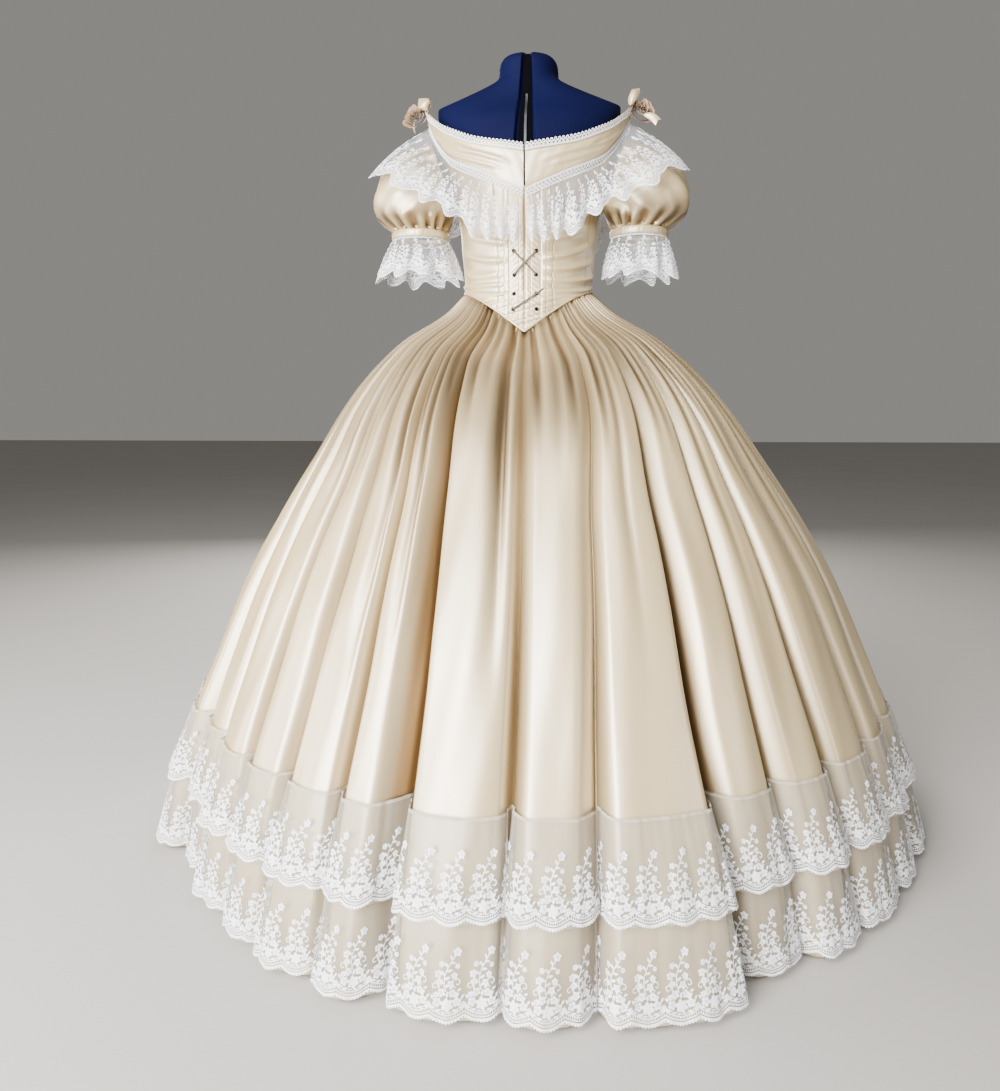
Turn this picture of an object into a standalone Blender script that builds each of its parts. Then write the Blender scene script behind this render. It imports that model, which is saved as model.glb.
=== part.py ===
"""Back-laced ball gown on a limbless dress form. Metres, +Z up, the wearer's front towards -Y."""
import math

import bpy
import numpy as np

# Cloth and seams
WALL = 0.0015
SKIRT_WALL = 0.003
LACE_WALL = 0.0012
SEAM_GAP = 0.0004
LEAST_MITRE = 0.5
BODY_COLUMNS = 40
BODY_POWER = 2.25
BERTHA_LIFT = 0.0010
BRAID_LIFT = 0.0032

# Heights that drive the gown, with the floor at zero
FRONT_OR_BACK_POINT_Z = 0.934
WAIST_SIDE_Z = 1.015
WAIST_POINT_POWER = 1.1
PIPING_WIDTH = 0.003
PIPING_INSET = 0.001
PIPING_THICKNESS = 0.0035
BODICE_TOP_Z = 1.184
BODICE_TOP_RISE = 0.034
SATIN_HEM_Z = 0.004

# Flounces: name, seam height, hem height, distance out from the satin at the seam and at the hem
FLOUNCE_ROWS = (
    ("upper_flounce", 0.257, 0.142, 0.006, 0.018),
    ("lower_flounce", 0.168, 0.024, 0.008, 0.018),
)

# Skirt plan at the hem
HEM_HALF_WIDTH = 0.720
HEM_HALF_DEPTH = 0.700
SKIRT_DRIFT_X = -0.021
PANEL_BULGE = 0.007
PANEL_STEPS = (0.0, 0.13, 0.5, 0.87)
SKIRT_LEVELS = (0.0, 0.04, 0.10, 0.20, 0.34, 0.53, 0.75, 1.0)

# Body sections: height, half width and half depth of the form, then of the gown, and centre offset in Y
BODY_ROWS = (
    (0.800, 0.148, 0.120, 0.170, 0.140, 0.000),
    (0.860, 0.156, 0.124, 0.168, 0.136, 0.000),
    (0.930, 0.1427, 0.1127, 0.150, 0.121, 0.000),
    (0.975, 0.1266, 0.1006, 0.134, 0.109, 0.000),
    (1.020, 0.1146, 0.0926, 0.122, 0.101, 0.000),
    (1.080, 0.118, 0.096, 0.126, 0.105, 0.000),
    (1.140, 0.123, 0.102, 0.131, 0.112, -0.002),
    (1.200, 0.136, 0.110, 0.145, 0.120, -0.004),
    (1.260, 0.150, 0.109, 0.163, 0.120, -0.002),
    (1.310, 0.167, 0.094, 0.181, 0.112, 0.000),
    (1.343, 0.172, 0.068, 0.190, 0.100, 0.002),
    (1.356, 0.142, 0.062, 0.192, 0.097, 0.002),
    (1.368, 0.110, 0.059, 0.192, 0.095, 0.002),
    (1.379, 0.082, 0.057, 0.192, 0.095, 0.002),
    (1.388, 0.064, 0.056, 0.192, 0.095, 0.002),
    (1.397, 0.056, 0.055, 0.192, 0.095, 0.002),
    (1.417, 0.054, 0.054, 0.192, 0.095, 0.002),
    (1.428, 0.048, 0.048, 0.192, 0.095, 0.002),
    (1.434, 0.034, 0.034, 0.192, 0.095, 0.002),
)
FORM_TOP_Z = 1.434
FORM_COLUMNS = 30

# Collar heights by angle from the centre back: angle, neckline, lower edge of the bertha
COLLAR_ROWS = (
    (0.0, 1.251, 1.169),
    (36.0, 1.266, 1.205),
    (62.0, 1.295, 1.236),
    (76.0, 1.322, 1.272),
    (90.0, 1.347, 1.324),
    (104.0, 1.320, 1.270),
    (118.0, 1.286, 1.229),
    (144.0, 1.250, 1.190),
    (180.0, 1.233, 1.150),
)

# Narrow lace along the neckline and the bertha's lower edge: how far it goes above and below
EDGING_REACH = (0.003, 0.010)
BRAID_REACH = (0.009, 0.005)

# Hem of the bertha ruffle, left half: angle, x, y, z
RUFFLE_ROWS = (
    (0.0, 0.004, 0.138, 1.088),
    (36.0, 0.078, 0.138, 1.094),
    (54.0, 0.142, 0.126, 1.145),
    (66.0, 0.190, 0.116, 1.166),
    (78.0, 0.245, 0.094, 1.204),
    (90.0, 0.286, 0.000, 1.236),
    (102.0, 0.245, -0.094, 1.203),
    (114.0, 0.190, -0.118, 1.164),
    (126.0, 0.142, -0.130, 1.138),
    (144.0, 0.078, -0.144, 1.086),
    (180.0, 0.004, -0.144, 1.072),
)
RUFFLE_WAVES = 16
RUFFLE_WAVE_DEPTH = 0.013
RUFFLE_BULGE = 0.014
RUFFLE_SCALLOP = 0.005
RUFFLE_TOP_DROP = 0.0064
RUFFLE_TOP_LIFT = 0.0034

# Left puff sleeve from the armhole down: centre x, centre z, tilt in degrees, half width, half depth
SLEEVE_ROWS = (
    (0.1662, 1.243, 70.0, 0.052, 0.036),
    (0.190, 1.230, 45.0, 0.062, 0.051),
    (0.213, 1.204, 17.0, 0.076, 0.068),
    (0.219, 1.180, 5.0, 0.0790, 0.077),
    (0.218, 1.155, 0.0, 0.073, 0.074),
    (0.214, 1.138, 0.0, 0.062, 0.064),
    (0.210, 1.128, 0.0, 0.053, 0.054),
)
SLEEVE_SWELL = (1.0, 1.07)
SLEEVE_COLUMNS = 24
SLEEVE_WALL = 0.002
SLEEVE_GATHER = 0.0025
BAND_DROP = 0.014
CUFF_HEM_Z = 1.046
CUFF_HEM_RADIUS = (0.080, 0.065)
CUFF_WAVES = 10
CUFF_WAVE_DEPTH = 0.004

# Skirt valleys from right to left across the back, in degrees from the centre back at five levels,
# their depth at the hem, and how far the panel left of them stands out there: hem, low, middle, high, top,
# depth, reach
VALLEY_LEVELS = (0.0, 0.15, 0.35, 0.60, 1.0)
VALLEY_ROWS = (
    (-79.5, -80.0, -80.5, -82.0, -83.5, 0.022, 0.000),
    (-68.5, -69.0, -70.5, -73.0, -76.5, 0.028, -0.010),
    (-58.0, -58.0, -60.0, -64.0, -69.0, 0.025, -0.010),
    (-47.5, -47.0, -49.5, -55.0, -61.0, 0.028, -0.016),
    (-37.0, -36.0, -39.0, -46.0, -54.0, 0.020, -0.030),
    (-27.5, -25.8, -28.0, -35.0, -45.0, 0.030, 0.012),
    (-9.6, -11.5, -14.5, -22.0, -31.0, 0.018, 0.000),
    (0.5, 0.0, 0.0, 0.0, 0.0, 0.020, -0.002),
    (13.6, 14.3, 17.3, 22.5, 33.0, 0.044, -0.003),
    (23.0, 23.5, 26.5, 33.5, 45.0, 0.018, -0.014),
    (32.5, 33.0, 36.0, 43.5, 54.0, 0.022, -0.028),
    (42.0, 42.5, 45.5, 52.5, 61.5, 0.028, -0.036),
    (52.5, 53.0, 55.5, 61.5, 68.5, 0.022, -0.050),
    (63.0, 63.5, 65.5, 70.0, 75.5, 0.024, 0.000),
    (74.0, 74.8, 76.5, 79.0, 82.5, 0.026, 0.004),
    (90.0, 90.0, 90.0, 90.0, 90.0, 0.022, 0.000),
)
VALLEY_GROWTH = ((0.0, 0.10), (0.06, 0.28), (0.15, 0.45), (0.35, 0.68), (0.60, 0.85), (1.0, 1.0))
SCALLOP_DROP = 0.010

# Skirt profile from the bodice edge to the hem: share of the drop, share of the spread
PROFILE_ROWS = (
    (0.000, 0.000),
    (0.035, 0.060),
    (0.094, 0.217),
    (0.192, 0.378),
    (0.300, 0.503),
    (0.420, 0.632),
    (0.517, 0.724),
    (0.640, 0.816),
    (0.760, 0.900),
    (0.880, 0.960),
    (1.000, 1.000),
)

# Bodice pieces: name, first and last angle from the centre back towards the wearer's left
BODICE_PIECES = (
    ("bodice_back_left", 0.0, 27.0),
    ("bodice_side_back_left", 27.0, 63.0),
    ("bodice_side_front_left", 63.0, 117.0),
    ("bodice_front_left", 117.0, 153.0),
)
BODICE_CENTRE_FRONT = (153.0, 207.0)
BODICE_ROWS = 9

# Lacing on the back, from the top pair of eyelets down: height, clearance from the curved panel
EYELET_ROWS = (
    (1.075, 0.0005),
    (1.034, 0.0007),
    (1.000, 0.0010),
    (0.972, 0.0007),
)
EYELET_X = 0.0205
EYELET_RADIUS = 0.0027
EYELET_WIRE = 0.0008
CORD_RADIUS = 0.0009
LACING_DEPTH = 0.105
LACING_LIFT = 0.0037

# Shoulder trims: places from the rose's centre, on the left side
ROSE_CENTRE = (0.2088, 0.014, 1.332)
ROSE_FACING = (0.78, 0.38, 0.50)
LOOP_START = (-0.0203, 0.0123, 0.0113)
LOOP_END = (-0.012, 0.006, 0.036)
LOOP_WIDTH = 0.016
TAIL_START = (0.0054, 0.0207, -0.0092)
TAIL_END = (0.032, 0.024, -0.012)
TAIL_WIDTH = 0.014
RIBBON_CROWN = 0.0025

# Rose from the back to the middle: radius, height, wave depth
ROSE_ROWS = (
    (0.006, -0.012, 0.0),
    (0.020, -0.006, 0.002),
    (0.0225, 0.004, 0.003),
    (0.014, 0.002, 0.002),
    (0.0125, 0.010, 0.002),
    (0.006, 0.006, 0.001),
    (0.002, 0.001, 0.0),
)
ROSE_COLUMNS = 16
ROSE_PETALS = 4

# Dress form
GAP_HALF_WIDTH_TOP = 0.009
GAP_HALF_WIDTH_LOW = 0.020
GAP_LOW_Z = 1.25
GAP_DEPTH = 0.012
PANEL_DEPTH = 0.0092
RAIL_DEPTH = 0.0068
RAIL_HALF_WIDTH = 0.0022
BACK_STRIP_THICKNESS = 0.002
PANEL_TOP_Z = 1.43
RAIL_TOP_Z = 1.36
POLE_RADIUS = 0.014
BASE_RADIUS = 0.215
BASE_THICKNESS = 0.016


def clear_scene():
    for thing in list(bpy.data.objects):
        bpy.data.objects.remove(thing, do_unlink=True)


def make_material(name, colour, roughness, metallic=0.0):
    material = bpy.data.materials.new(name)
    material.use_nodes = True
    shader = material.node_tree.nodes["Principled BSDF"]
    shader.inputs["Base Color"].default_value = (*colour, 1.0)
    shader.inputs["Roughness"].default_value = roughness
    shader.inputs["Metallic"].default_value = metallic
    material.diffuse_color = (*colour, 1.0)
    return material


def smooth_steps(rows, column, x):
    """Value of a table column at x, by a smooth curve through the rows that never overshoots them."""
    table = np.asarray(rows, float)
    knots = table[:, 0]
    values = table[:, column]
    widths = np.diff(knots)
    slopes = np.diff(values) / widths
    tangents = np.zeros_like(values)
    same_way = slopes[:-1] * slopes[1:] > 0
    before = slopes[:-1]
    after = slopes[1:]
    total = np.where(same_way, before + after, 1.0)
    tangents[1:-1] = np.where(same_way, 2.0 * before * after / total, 0.0)
    tangents[0] = slopes[0]
    tangents[-1] = slopes[-1]
    x = np.clip(x, knots[0], knots[-1])
    place = np.clip(np.searchsorted(knots, x, side="right") - 1, 0, len(widths) - 1)
    width = widths[place]
    t = (x - knots[place]) / width
    ease = t * t * (3.0 - 2.0 * t)
    start_bend = t * (1.0 - t) ** 2 * width
    end_bend = t * t * (t - 1.0) * width
    blend = values[place] * (1.0 - ease) + values[place + 1] * ease
    return blend + tangents[place] * start_bend + tangents[place + 1] * end_bend


def signed_volume(points, faces):
    total = 0.0
    for face in faces:
        corner = points[face[0]]
        for second, third in zip(face[1:-1], face[2:]):
            total += np.dot(corner, np.cross(points[second], points[third]))
    return total / 6.0


def add_solid(name, points, faces, material, sharp_degrees=35.0):
    points = np.asarray(points, float)
    if signed_volume(points, faces) < 0.0:
        faces = [face[::-1] for face in faces]
    mesh = bpy.data.meshes.new(name)
    mesh.from_pydata([tuple(point) for point in points], [], faces)
    mesh.shade_smooth()
    mesh.set_sharp_from_angle(angle=math.radians(sharp_degrees))
    mesh.materials.append(material)
    solid = bpy.data.objects.new(name, mesh)
    bpy.context.scene.collection.objects.link(solid)
    return solid


def grid_faces(rows, columns, start, ring, flip):
    faces = []
    last = columns if ring else columns - 1
    for row in range(rows - 1):
        for column in range(last):
            after = (column + 1) % columns
            face = (
                start + row * columns + column,
                start + row * columns + after,
                start + (row + 1) * columns + after,
                start + (row + 1) * columns + column,
            )
            faces.append(face[::-1] if flip else face)
    return faces


def split_faces(rows, columns, start, ring, flip):
    """Triangles of a grid, all with the same diagonal, so that two grids of a thin wall never cross."""
    faces = []
    for a, b, c, d in grid_faces(rows, columns, start, ring, False):
        for face in ((a, b, c), (a, c, d)):
            faces.append(face[::-1] if flip else face)
    return faces


def add_wall(name, outer, inner, material, ring=False, sharp_degrees=35.0):
    """A cloth piece: an outer and an inner grid of points, joined round their edges."""
    rows, columns = outer.shape[:2]
    inner_start = rows * columns
    points = np.concatenate([outer.reshape(-1, 3), inner.reshape(-1, 3)])
    faces = split_faces(rows, columns, 0, ring, False)
    faces += split_faces(rows, columns, inner_start, ring, True)
    last = columns if ring else columns - 1
    for column in range(last):
        after = (column + 1) % columns
        low = (rows - 1) * columns
        faces.append((after, column, inner_start + column, inner_start + after))
        faces.append((low + column, low + after, inner_start + low + after, inner_start + low + column))
    if not ring:
        for row in range(rows - 1):
            first = row * columns
            below = first + columns
            end = first + columns - 1
            end_below = below + columns - 1
            faces.append((first, below, inner_start + below, inner_start + first))
            faces.append((end_below, end, inner_start + end, inner_start + end_below))
    return add_solid(name, points, faces, material, sharp_degrees)


def square_steps(grid, thickness, outward, ring=False):
    """Steps off a grid, square to it and longer at its corners, so that a pleated wall keeps its thickness."""
    closed = np.concatenate([grid[:, -1:], grid, grid[:, :1]], axis=1) if ring else grid
    normals = np.cross(closed[1:, 1:] - closed[:-1, :-1], closed[1:, :-1] - closed[:-1, 1:])
    normals /= np.linalg.norm(normals, axis=2)[:, :, None]
    beside = 0 if ring else 1
    normals = np.pad(normals, ((1, 1), (beside, beside), (0, 0)), mode="edge")
    mean = (normals[:-1, :-1] + normals[1:, :-1] + normals[:-1, 1:] + normals[1:, 1:]) / 4.0
    if np.sum(mean * outward) < 0.0:
        mean = -mean
    if not ring:
        mean[:, (0, -1)] = outward[:, (0, -1)]
    size = np.maximum(np.linalg.norm(mean, axis=2), LEAST_MITRE)
    return mean * (thickness / size**2)[:, :, None]


def add_rings(name, rings, material, sharp_degrees=35.0):
    """A closed solid lofted through rings of points, with flat ends."""
    rings = np.asarray(rings, float)
    count, columns = rings.shape[:2]
    faces = grid_faces(count, columns, 0, True, False)
    faces.append(tuple(range(columns))[::-1])
    last = (count - 1) * columns
    faces.append(tuple(range(last, last + columns)))
    return add_solid(name, rings.reshape(-1, 3), faces, material, sharp_degrees)


def add_tube(name, path, radius, material, sides=6):
    """A round cord along a path of points."""
    path = np.asarray(path, float)
    ahead = np.gradient(path, axis=0)
    ahead /= np.linalg.norm(ahead, axis=1)[:, None]
    rings = []
    for centre, along in zip(path, ahead):
        across = np.cross(along, (0.0, 1.0, 0.0))
        across /= np.linalg.norm(across)
        upward = np.cross(across, along)
        turns = np.arange(sides) * 2.0 * math.pi / sides
        rings.append([centre + radius * (math.cos(a) * across + math.sin(a) * upward) for a in turns])
    return add_rings(name, rings, material, 60.0)


def body_radius(angle, z, width_column, depth_column, offset=0.0):
    width = smooth_steps(BODY_ROWS, width_column, z) + offset
    depth = smooth_steps(BODY_ROWS, depth_column, z) + offset
    side = np.abs(np.sin(angle)) / width
    back = np.abs(np.cos(angle)) / depth
    return (side**BODY_POWER + back**BODY_POWER) ** (-1.0 / BODY_POWER)


def body_point(angle, z, width_column, depth_column, offset=0.0):
    """Point on a section of the body, at an angle from the centre back towards the wearer's left."""
    angle, z = np.broadcast_arrays(angle, z)
    radius = body_radius(angle, z, width_column, depth_column, offset)
    centre = smooth_steps(BODY_ROWS, 5, z)
    return np.stack([radius * np.sin(angle), radius * np.cos(angle) + centre, z], axis=-1)


def form_point(angle, z, offset=0.0):
    return body_point(angle, z, 1, 2, offset)


def gown_point(angle, z, offset=0.0):
    return body_point(angle, z, 3, 4, offset)


def fold_degrees(angle):
    """Degrees from the centre back, from 0 to 180 on both sides."""
    degrees = np.degrees(angle) % 360.0
    return np.minimum(degrees, 360.0 - degrees)


def waist_z(angle):
    """Height of the bodice's lower edge, pointed at the back and the front."""
    dip = (1.0 - np.abs(np.sin(angle))) ** WAIST_POINT_POWER
    return WAIST_SIDE_Z - (WAIST_SIDE_Z - FRONT_OR_BACK_POINT_Z) * dip


def neckline_z(angle):
    return smooth_steps(COLLAR_ROWS, 1, fold_degrees(angle))


def bertha_low_z(angle):
    return smooth_steps(COLLAR_ROWS, 2, fold_degrees(angle))


def bodice_top_z(angle):
    """The bodice ends out of sight under the bertha, and dips at each armhole."""
    return BODICE_TOP_Z + BODICE_TOP_RISE * np.sin(2.0 * angle) ** 2


def column_angles(first, last):
    """Angles in radians, in even steps, between two angles in degrees."""
    step = 360.0 / BODY_COLUMNS
    middle = np.arange(math.ceil(first / step + 0.01), math.floor(last / step - 0.01) + 1) * step
    return np.radians(np.concatenate([[first], middle, [last]]))


def band_between(name, angles, high_z, low_z, inner_offset, thickness, material, rows, ring=False):
    """A band of cloth that lies on the gown's form between two heights given for each angle."""
    steps = np.linspace(0.0, 1.0, rows)[:, None]
    z = high_z[None, :] * (1.0 - steps) + low_z[None, :] * steps
    turned = np.broadcast_to(angles[None, :], z.shape)
    outer = gown_point(turned, z, inner_offset + thickness)
    inner = gown_point(turned, z, inner_offset)
    return add_wall(name, outer, inner, material, ring)


def mirrored_name(name):
    return name.replace("_left", "_right")


def build_bodice(satin):
    gap = math.degrees(SEAM_GAP / 0.12)
    for name, first, last in BODICE_PIECES:
        for side in (1.0, -1.0):
            angles = side * column_angles(first + gap, last - gap)
            z_high = bodice_top_z(angles)
            z_low = waist_z(angles)
            piece = name if side > 0 else mirrored_name(name)
            band_between(piece, angles, z_high, z_low, -WALL, WALL, satin, BODICE_ROWS)
    angles = column_angles(BODICE_CENTRE_FRONT[0] + gap, BODICE_CENTRE_FRONT[1] - gap)
    z_high = bodice_top_z(angles)
    z_low = waist_z(angles)
    band_between("bodice_centre_front", angles, z_high, z_low, -WALL, WALL, satin, BODICE_ROWS)


def build_piping(satin):
    angles = np.radians(np.arange(BODY_COLUMNS) * 360.0 / BODY_COLUMNS)
    top = waist_z(angles) - SEAM_GAP
    low = top - PIPING_WIDTH
    band_between("bodice_piping", angles, top, low, -PIPING_INSET, PIPING_THICKNESS, satin, 2, ring=True)


def build_bertha(satin, lace):
    pieces = (
        ("bertha_back_left", 0.8, 89.8),
        ("bertha_back_right", 270.2, 359.2),
        ("bertha_front", 90.2, 269.8),
    )
    for name, first, last in pieces:
        angles = column_angles(first, last)
        band_between(name, angles, neckline_z(angles), bertha_low_z(angles), BERTHA_LIFT, WALL, satin, 4)
    angles = column_angles(0.8, 359.2)
    braids = (
        ("neck_edging", neckline_z(angles), EDGING_REACH),
        ("bertha_braid", bertha_low_z(angles), BRAID_REACH),
    )
    for name, edge, (above, below) in braids:
        band_between(name, angles, edge + above, edge - below, BRAID_LIFT, LACE_WALL, lace, 2)


def build_bertha_ruffle(lace):
    columns = RUFFLE_WAVES * 4 + 1
    degrees = np.linspace(0.9, 179.4, columns)
    angles = np.radians(degrees)
    hem = np.stack([smooth_steps(RUFFLE_ROWS, column, degrees) for column in (1, 2, 3)], axis=-1)
    knots = column_angles(0.0, 180.0)
    low = np.interp(angles, knots, bertha_low_z(knots))
    top = gown_point(angles, low - RUFFLE_TOP_DROP, RUFFLE_TOP_LIFT)
    wave = 0.5 - 0.5 * np.cos(np.linspace(0.0, RUFFLE_WAVES * 2.0 * math.pi, columns))
    along = np.gradient(hem, axis=0)
    away = np.stack([-along[:, 1], along[:, 0], np.zeros(columns)], axis=-1)
    away /= np.linalg.norm(away, axis=1)[:, None]
    outer = []
    for share in (0.0, 0.4, 1.0):
        row = top * (1.0 - share) + hem * share
        reach = RUFFLE_BULGE * math.sin(math.pi * share) + RUFFLE_WAVE_DEPTH * share * wave
        row = row + away * reach[:, None]
        if share == 1.0:
            row[:, 2] -= RUFFLE_SCALLOP * (2.0 * wave - 1.0)
        outer.append(row)
    outer = np.array(outer)
    inner = outer - square_steps(outer, LACE_WALL, np.broadcast_to(away, outer.shape))
    flip = np.array([-1.0, 1.0, 1.0])
    add_wall("bertha_ruffle_left", outer, inner, lace, sharp_degrees=80.0)
    add_wall("bertha_ruffle_right", outer * flip, inner * flip, lace, sharp_degrees=80.0)


def sleeve_ring(centre_x, centre_z, tilt, half_width, half_depth, columns):
    turns = np.arange(columns) * 2.0 * math.pi / columns
    along = half_width * np.cos(turns)
    x = centre_x + along * math.cos(tilt)
    z = centre_z + along * math.sin(tilt)
    return np.stack([x, half_depth * np.sin(turns), z], axis=-1)


def build_sleeves(satin, lace):
    for side, name, swell in ((1.0, "left", SLEEVE_SWELL[0]), (-1.0, "right", SLEEVE_SWELL[1])):
        flip = np.array([side, 1.0, 1.0])
        outer = []
        inner = []
        narrow = SLEEVE_ROWS[-1][3]
        for x, z, tilt, width, depth in SLEEVE_ROWS:
            tilt = math.radians(tilt)
            wider = (width - narrow) * (swell - 1.0) * 2.0 if z < 1.21 else 0.0
            x += wider
            width += wider
            outer.append(sleeve_ring(x, z, tilt, width, depth, SLEEVE_COLUMNS))
            inner.append(sleeve_ring(x, z, tilt, width - SLEEVE_WALL, depth - SLEEVE_WALL, SLEEVE_COLUMNS))
        gather = SLEEVE_GATHER * np.cos(np.arange(SLEEVE_COLUMNS) * math.pi)
        for level, share in ((5, 1.0), (4, 0.6)):
            centre = np.mean(outer[level], axis=0)
            for ring in (outer, inner):
                spoke = ring[level] - centre
                length = np.linalg.norm(spoke, axis=1)[:, None]
                ring[level] = centre + spoke * (1.0 + gather[:, None] * share / length)
        outer = np.array(outer)
        inner = np.array(inner)
        steps = square_steps(outer, SLEEVE_WALL, outer - outer.mean(axis=1)[:, None, :], ring=True)
        inner[1:] = outer[1:] - steps[1:]
        add_wall(f"sleeve_puff_{name}", outer * flip, inner * flip, satin, ring=True)
        build_cuff(side, name, flip, satin, lace)


def build_cuff(side, name, flip, satin, lace):
    x, z, _, width, depth = SLEEVE_ROWS[-1]
    top_z = z - SEAM_GAP
    walls = []
    for offset in (0.001, -0.0012):
        rings = []
        for level in (top_z, top_z - BAND_DROP):
            rings.append(sleeve_ring(x, level, 0.0, width + offset, depth + offset, SLEEVE_COLUMNS))
        walls.append(np.array(rings) * flip)
    add_wall(f"sleeve_band_{name}", walls[0], walls[1], satin, ring=True)
    columns = CUFF_WAVES * 4
    turns = np.arange(columns) * 2.0 * math.pi / columns
    wave = np.cos(turns * CUFF_WAVES)
    start_z = top_z - BAND_DROP - SEAM_GAP
    hem_radius = CUFF_HEM_RADIUS[0] if side > 0 else CUFF_HEM_RADIUS[1]
    outer = []
    inner = []
    for share in (0.0, 1.0):
        radius = width + (hem_radius - width) * share + CUFF_WAVE_DEPTH * share * wave
        level = start_z + (CUFF_HEM_Z - start_z) * share - CUFF_WAVE_DEPTH * share * wave
        for grid, offset in ((outer, 0.0), (inner, -LACE_WALL)):
            across = (radius + offset) * np.cos(turns)
            deep = (radius + offset) * np.sin(turns)
            grid.append(np.stack([x + 0.004 * share + across, deep, level * np.ones(columns)], axis=-1))
    outer = np.array(outer) * flip
    inner = np.array(inner) * flip
    add_wall(f"cuff_ruffle_{name}", outer, inner, lace, ring=True, sharp_degrees=80.0)


def valley_table():
    """All skirt valleys in order round the gown; the front repeats the back, turned half round."""
    rows = [tuple(row) for row in VALLEY_ROWS]
    turned = [tuple(value + 180.0 for value in row[:5]) + row[5:] for row in VALLEY_ROWS]
    return np.array(rows + turned)


def skirt_top_z(angle):
    """Height just under the piping, straight between the piping's corners."""
    corners = np.radians(np.arange(-BODY_COLUMNS, 2 * BODY_COLUMNS + 1) * 360.0 / BODY_COLUMNS)
    return np.interp(angle, corners, waist_z(corners)) - 2.5 * SEAM_GAP - PIPING_WIDTH


def skirt_centre_x(drop):
    return SKIRT_DRIFT_X * smooth_steps(((0.0, 0.0), (0.3, 0.8), (0.5, 1.0), (1.0, 0.9)), 1, drop)


def skirt_point(angle, drop, proud):
    """Point on the skirt at an angle, a share of the drop, and a distance out from the plain dome."""
    top_z = skirt_top_z(angle)
    top_radius = body_radius(angle, top_z, 3, 4)
    side = np.sin(angle) / HEM_HALF_WIDTH
    back = np.cos(angle) / HEM_HALF_DEPTH
    hem_radius = (side * side + back * back) ** -0.5
    spread = smooth_steps(PROFILE_ROWS, 1, drop)
    radius = top_radius + (hem_radius - top_radius) * spread + proud
    z = top_z + (SATIN_HEM_Z - top_z) * drop
    x = radius * np.sin(angle) + skirt_centre_x(drop)
    return np.stack([x, radius * np.cos(angle), z], axis=-1)


def skirt_grid():
    """Outer points of the satin skirt, a row for each level and four columns for each panel."""
    valleys = valley_table()
    count = len(valleys)
    grid = []
    for drop in SKIRT_LEVELS:
        centres = np.array([np.interp(drop, VALLEY_LEVELS, row[4::-1]) for row in valleys])
        growth = float(np.interp(drop, *np.array(VALLEY_GROWTH).T))
        row = []
        for number in range(count):
            first = centres[number]
            second = centres[(number + 1) % count] + (360.0 if number + 1 == count else 0.0)
            for step in PANEL_STEPS:
                angle = math.radians(first + (second - first) * step)
                reach = valleys[number][6]
                if step == 0.0:
                    reach = min(reach, valleys[number - 1][6])
                sink = valleys[number][5] if step == 0.0 else 0.0
                proud = (PANEL_BULGE * math.sin(math.pi * step) - sink) * growth + reach * drop**3
                row.append(skirt_point(np.array(angle), np.array(drop), proud))
        grid.append(row)
    return np.array(grid)


def dome_normals(grid):
    """Outward directions of the plain dome, so that an offset never crosses a fold."""
    centre = np.array([skirt_centre_x(np.array(drop)) for drop in SKIRT_LEVELS])
    spokes = grid[:, :, :2] - np.stack([centre, np.zeros(len(centre))], axis=-1)[:, None, :]
    radius = np.linalg.norm(spokes, axis=2)
    mean_radius = radius.mean(axis=1)
    mean_z = grid[:, :, 2].mean(axis=1)
    slope_r = np.gradient(mean_radius)
    slope_z = np.gradient(mean_z)
    length = np.hypot(slope_r, slope_z)
    outward = -slope_z / length
    upward = slope_r / length
    flat = spokes / radius[:, :, None] * outward[:, None, None]
    return np.concatenate([flat, np.broadcast_to(upward[:, None, None], radius.shape + (1,))], axis=2)


def build_skirt(grid, satin):
    normals = dome_normals(grid)
    inner = grid - normals * SKIRT_WALL
    count = grid.shape[1]
    centre_back = 7 * len(PANEL_STEPS)
    quarter = 8 * len(PANEL_STEPS)
    names = ("skirt_back_left", "skirt_front_left", "skirt_front_right", "skirt_back_right")
    for number, name in enumerate(names):
        columns = (centre_back + number * quarter + np.arange(quarter + 1)) % count
        outer_part = grid[:, columns].copy()
        inner_part = inner[:, columns].copy()
        for part in (outer_part, inner_part):
            for edge, neighbour in ((0, 1), (-1, -2)):
                step = part[:, neighbour] - part[:, edge]
                length = np.linalg.norm(step, axis=1)[:, None]
                part[:, edge] += step / length * SEAM_GAP
        add_wall(name, outer_part, inner_part, satin)


def point_on_grid(grid, column, z):
    """Point on the flat facets of the skirt's grid, at a fraction of a column and a height."""
    count = grid.shape[1]
    first = int(math.floor(column)) % count
    share = column - math.floor(column)
    line = grid[:, first] * (1.0 - share) + grid[:, (first + 1) % count] * share
    heights = line[::-1, 2]
    return np.array([np.interp(z, heights, line[::-1, 0]), np.interp(z, heights, line[::-1, 1]), z])


def build_flounce(grid, name, top_z, hem_z, top_offset, hem_offset, lace):
    """A flounce in two halves that follows the skirt's folds, with every second corner of its hem dropped."""
    centre_back = 7 * len(PANEL_STEPS)
    half = 16 * len(PANEL_STEPS)
    for side, start in (("left", centre_back), ("right", centre_back + half)):
        columns = np.arange(start, start + half + 1, dtype=float)
        columns[0] += 0.03
        columns[-1] -= 0.03
        outer = []
        inner = []
        for level, offset in ((top_z, top_offset), (hem_z, hem_offset)):
            row = np.array([point_on_grid(grid, column, level) for column in columns])
            if level == hem_z:
                row[1::2, 2] -= SCALLOP_DROP
            outer.append(moved_out(row, offset + WALL))
            inner.append(moved_out(row, offset))
        add_wall(f"{name}_{side}", np.array(outer), np.array(inner), lace, sharp_degrees=60.0)


def moved_out(row, offset):
    """Points moved out from the skirt's axis by an offset."""
    spokes = row[:, :2] - np.array([SKIRT_DRIFT_X, 0.0])
    away = spokes / np.linalg.norm(spokes, axis=1)[:, None]
    return np.concatenate([row[:, :2] + away * offset, row[:, 2:]], axis=1)


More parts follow.
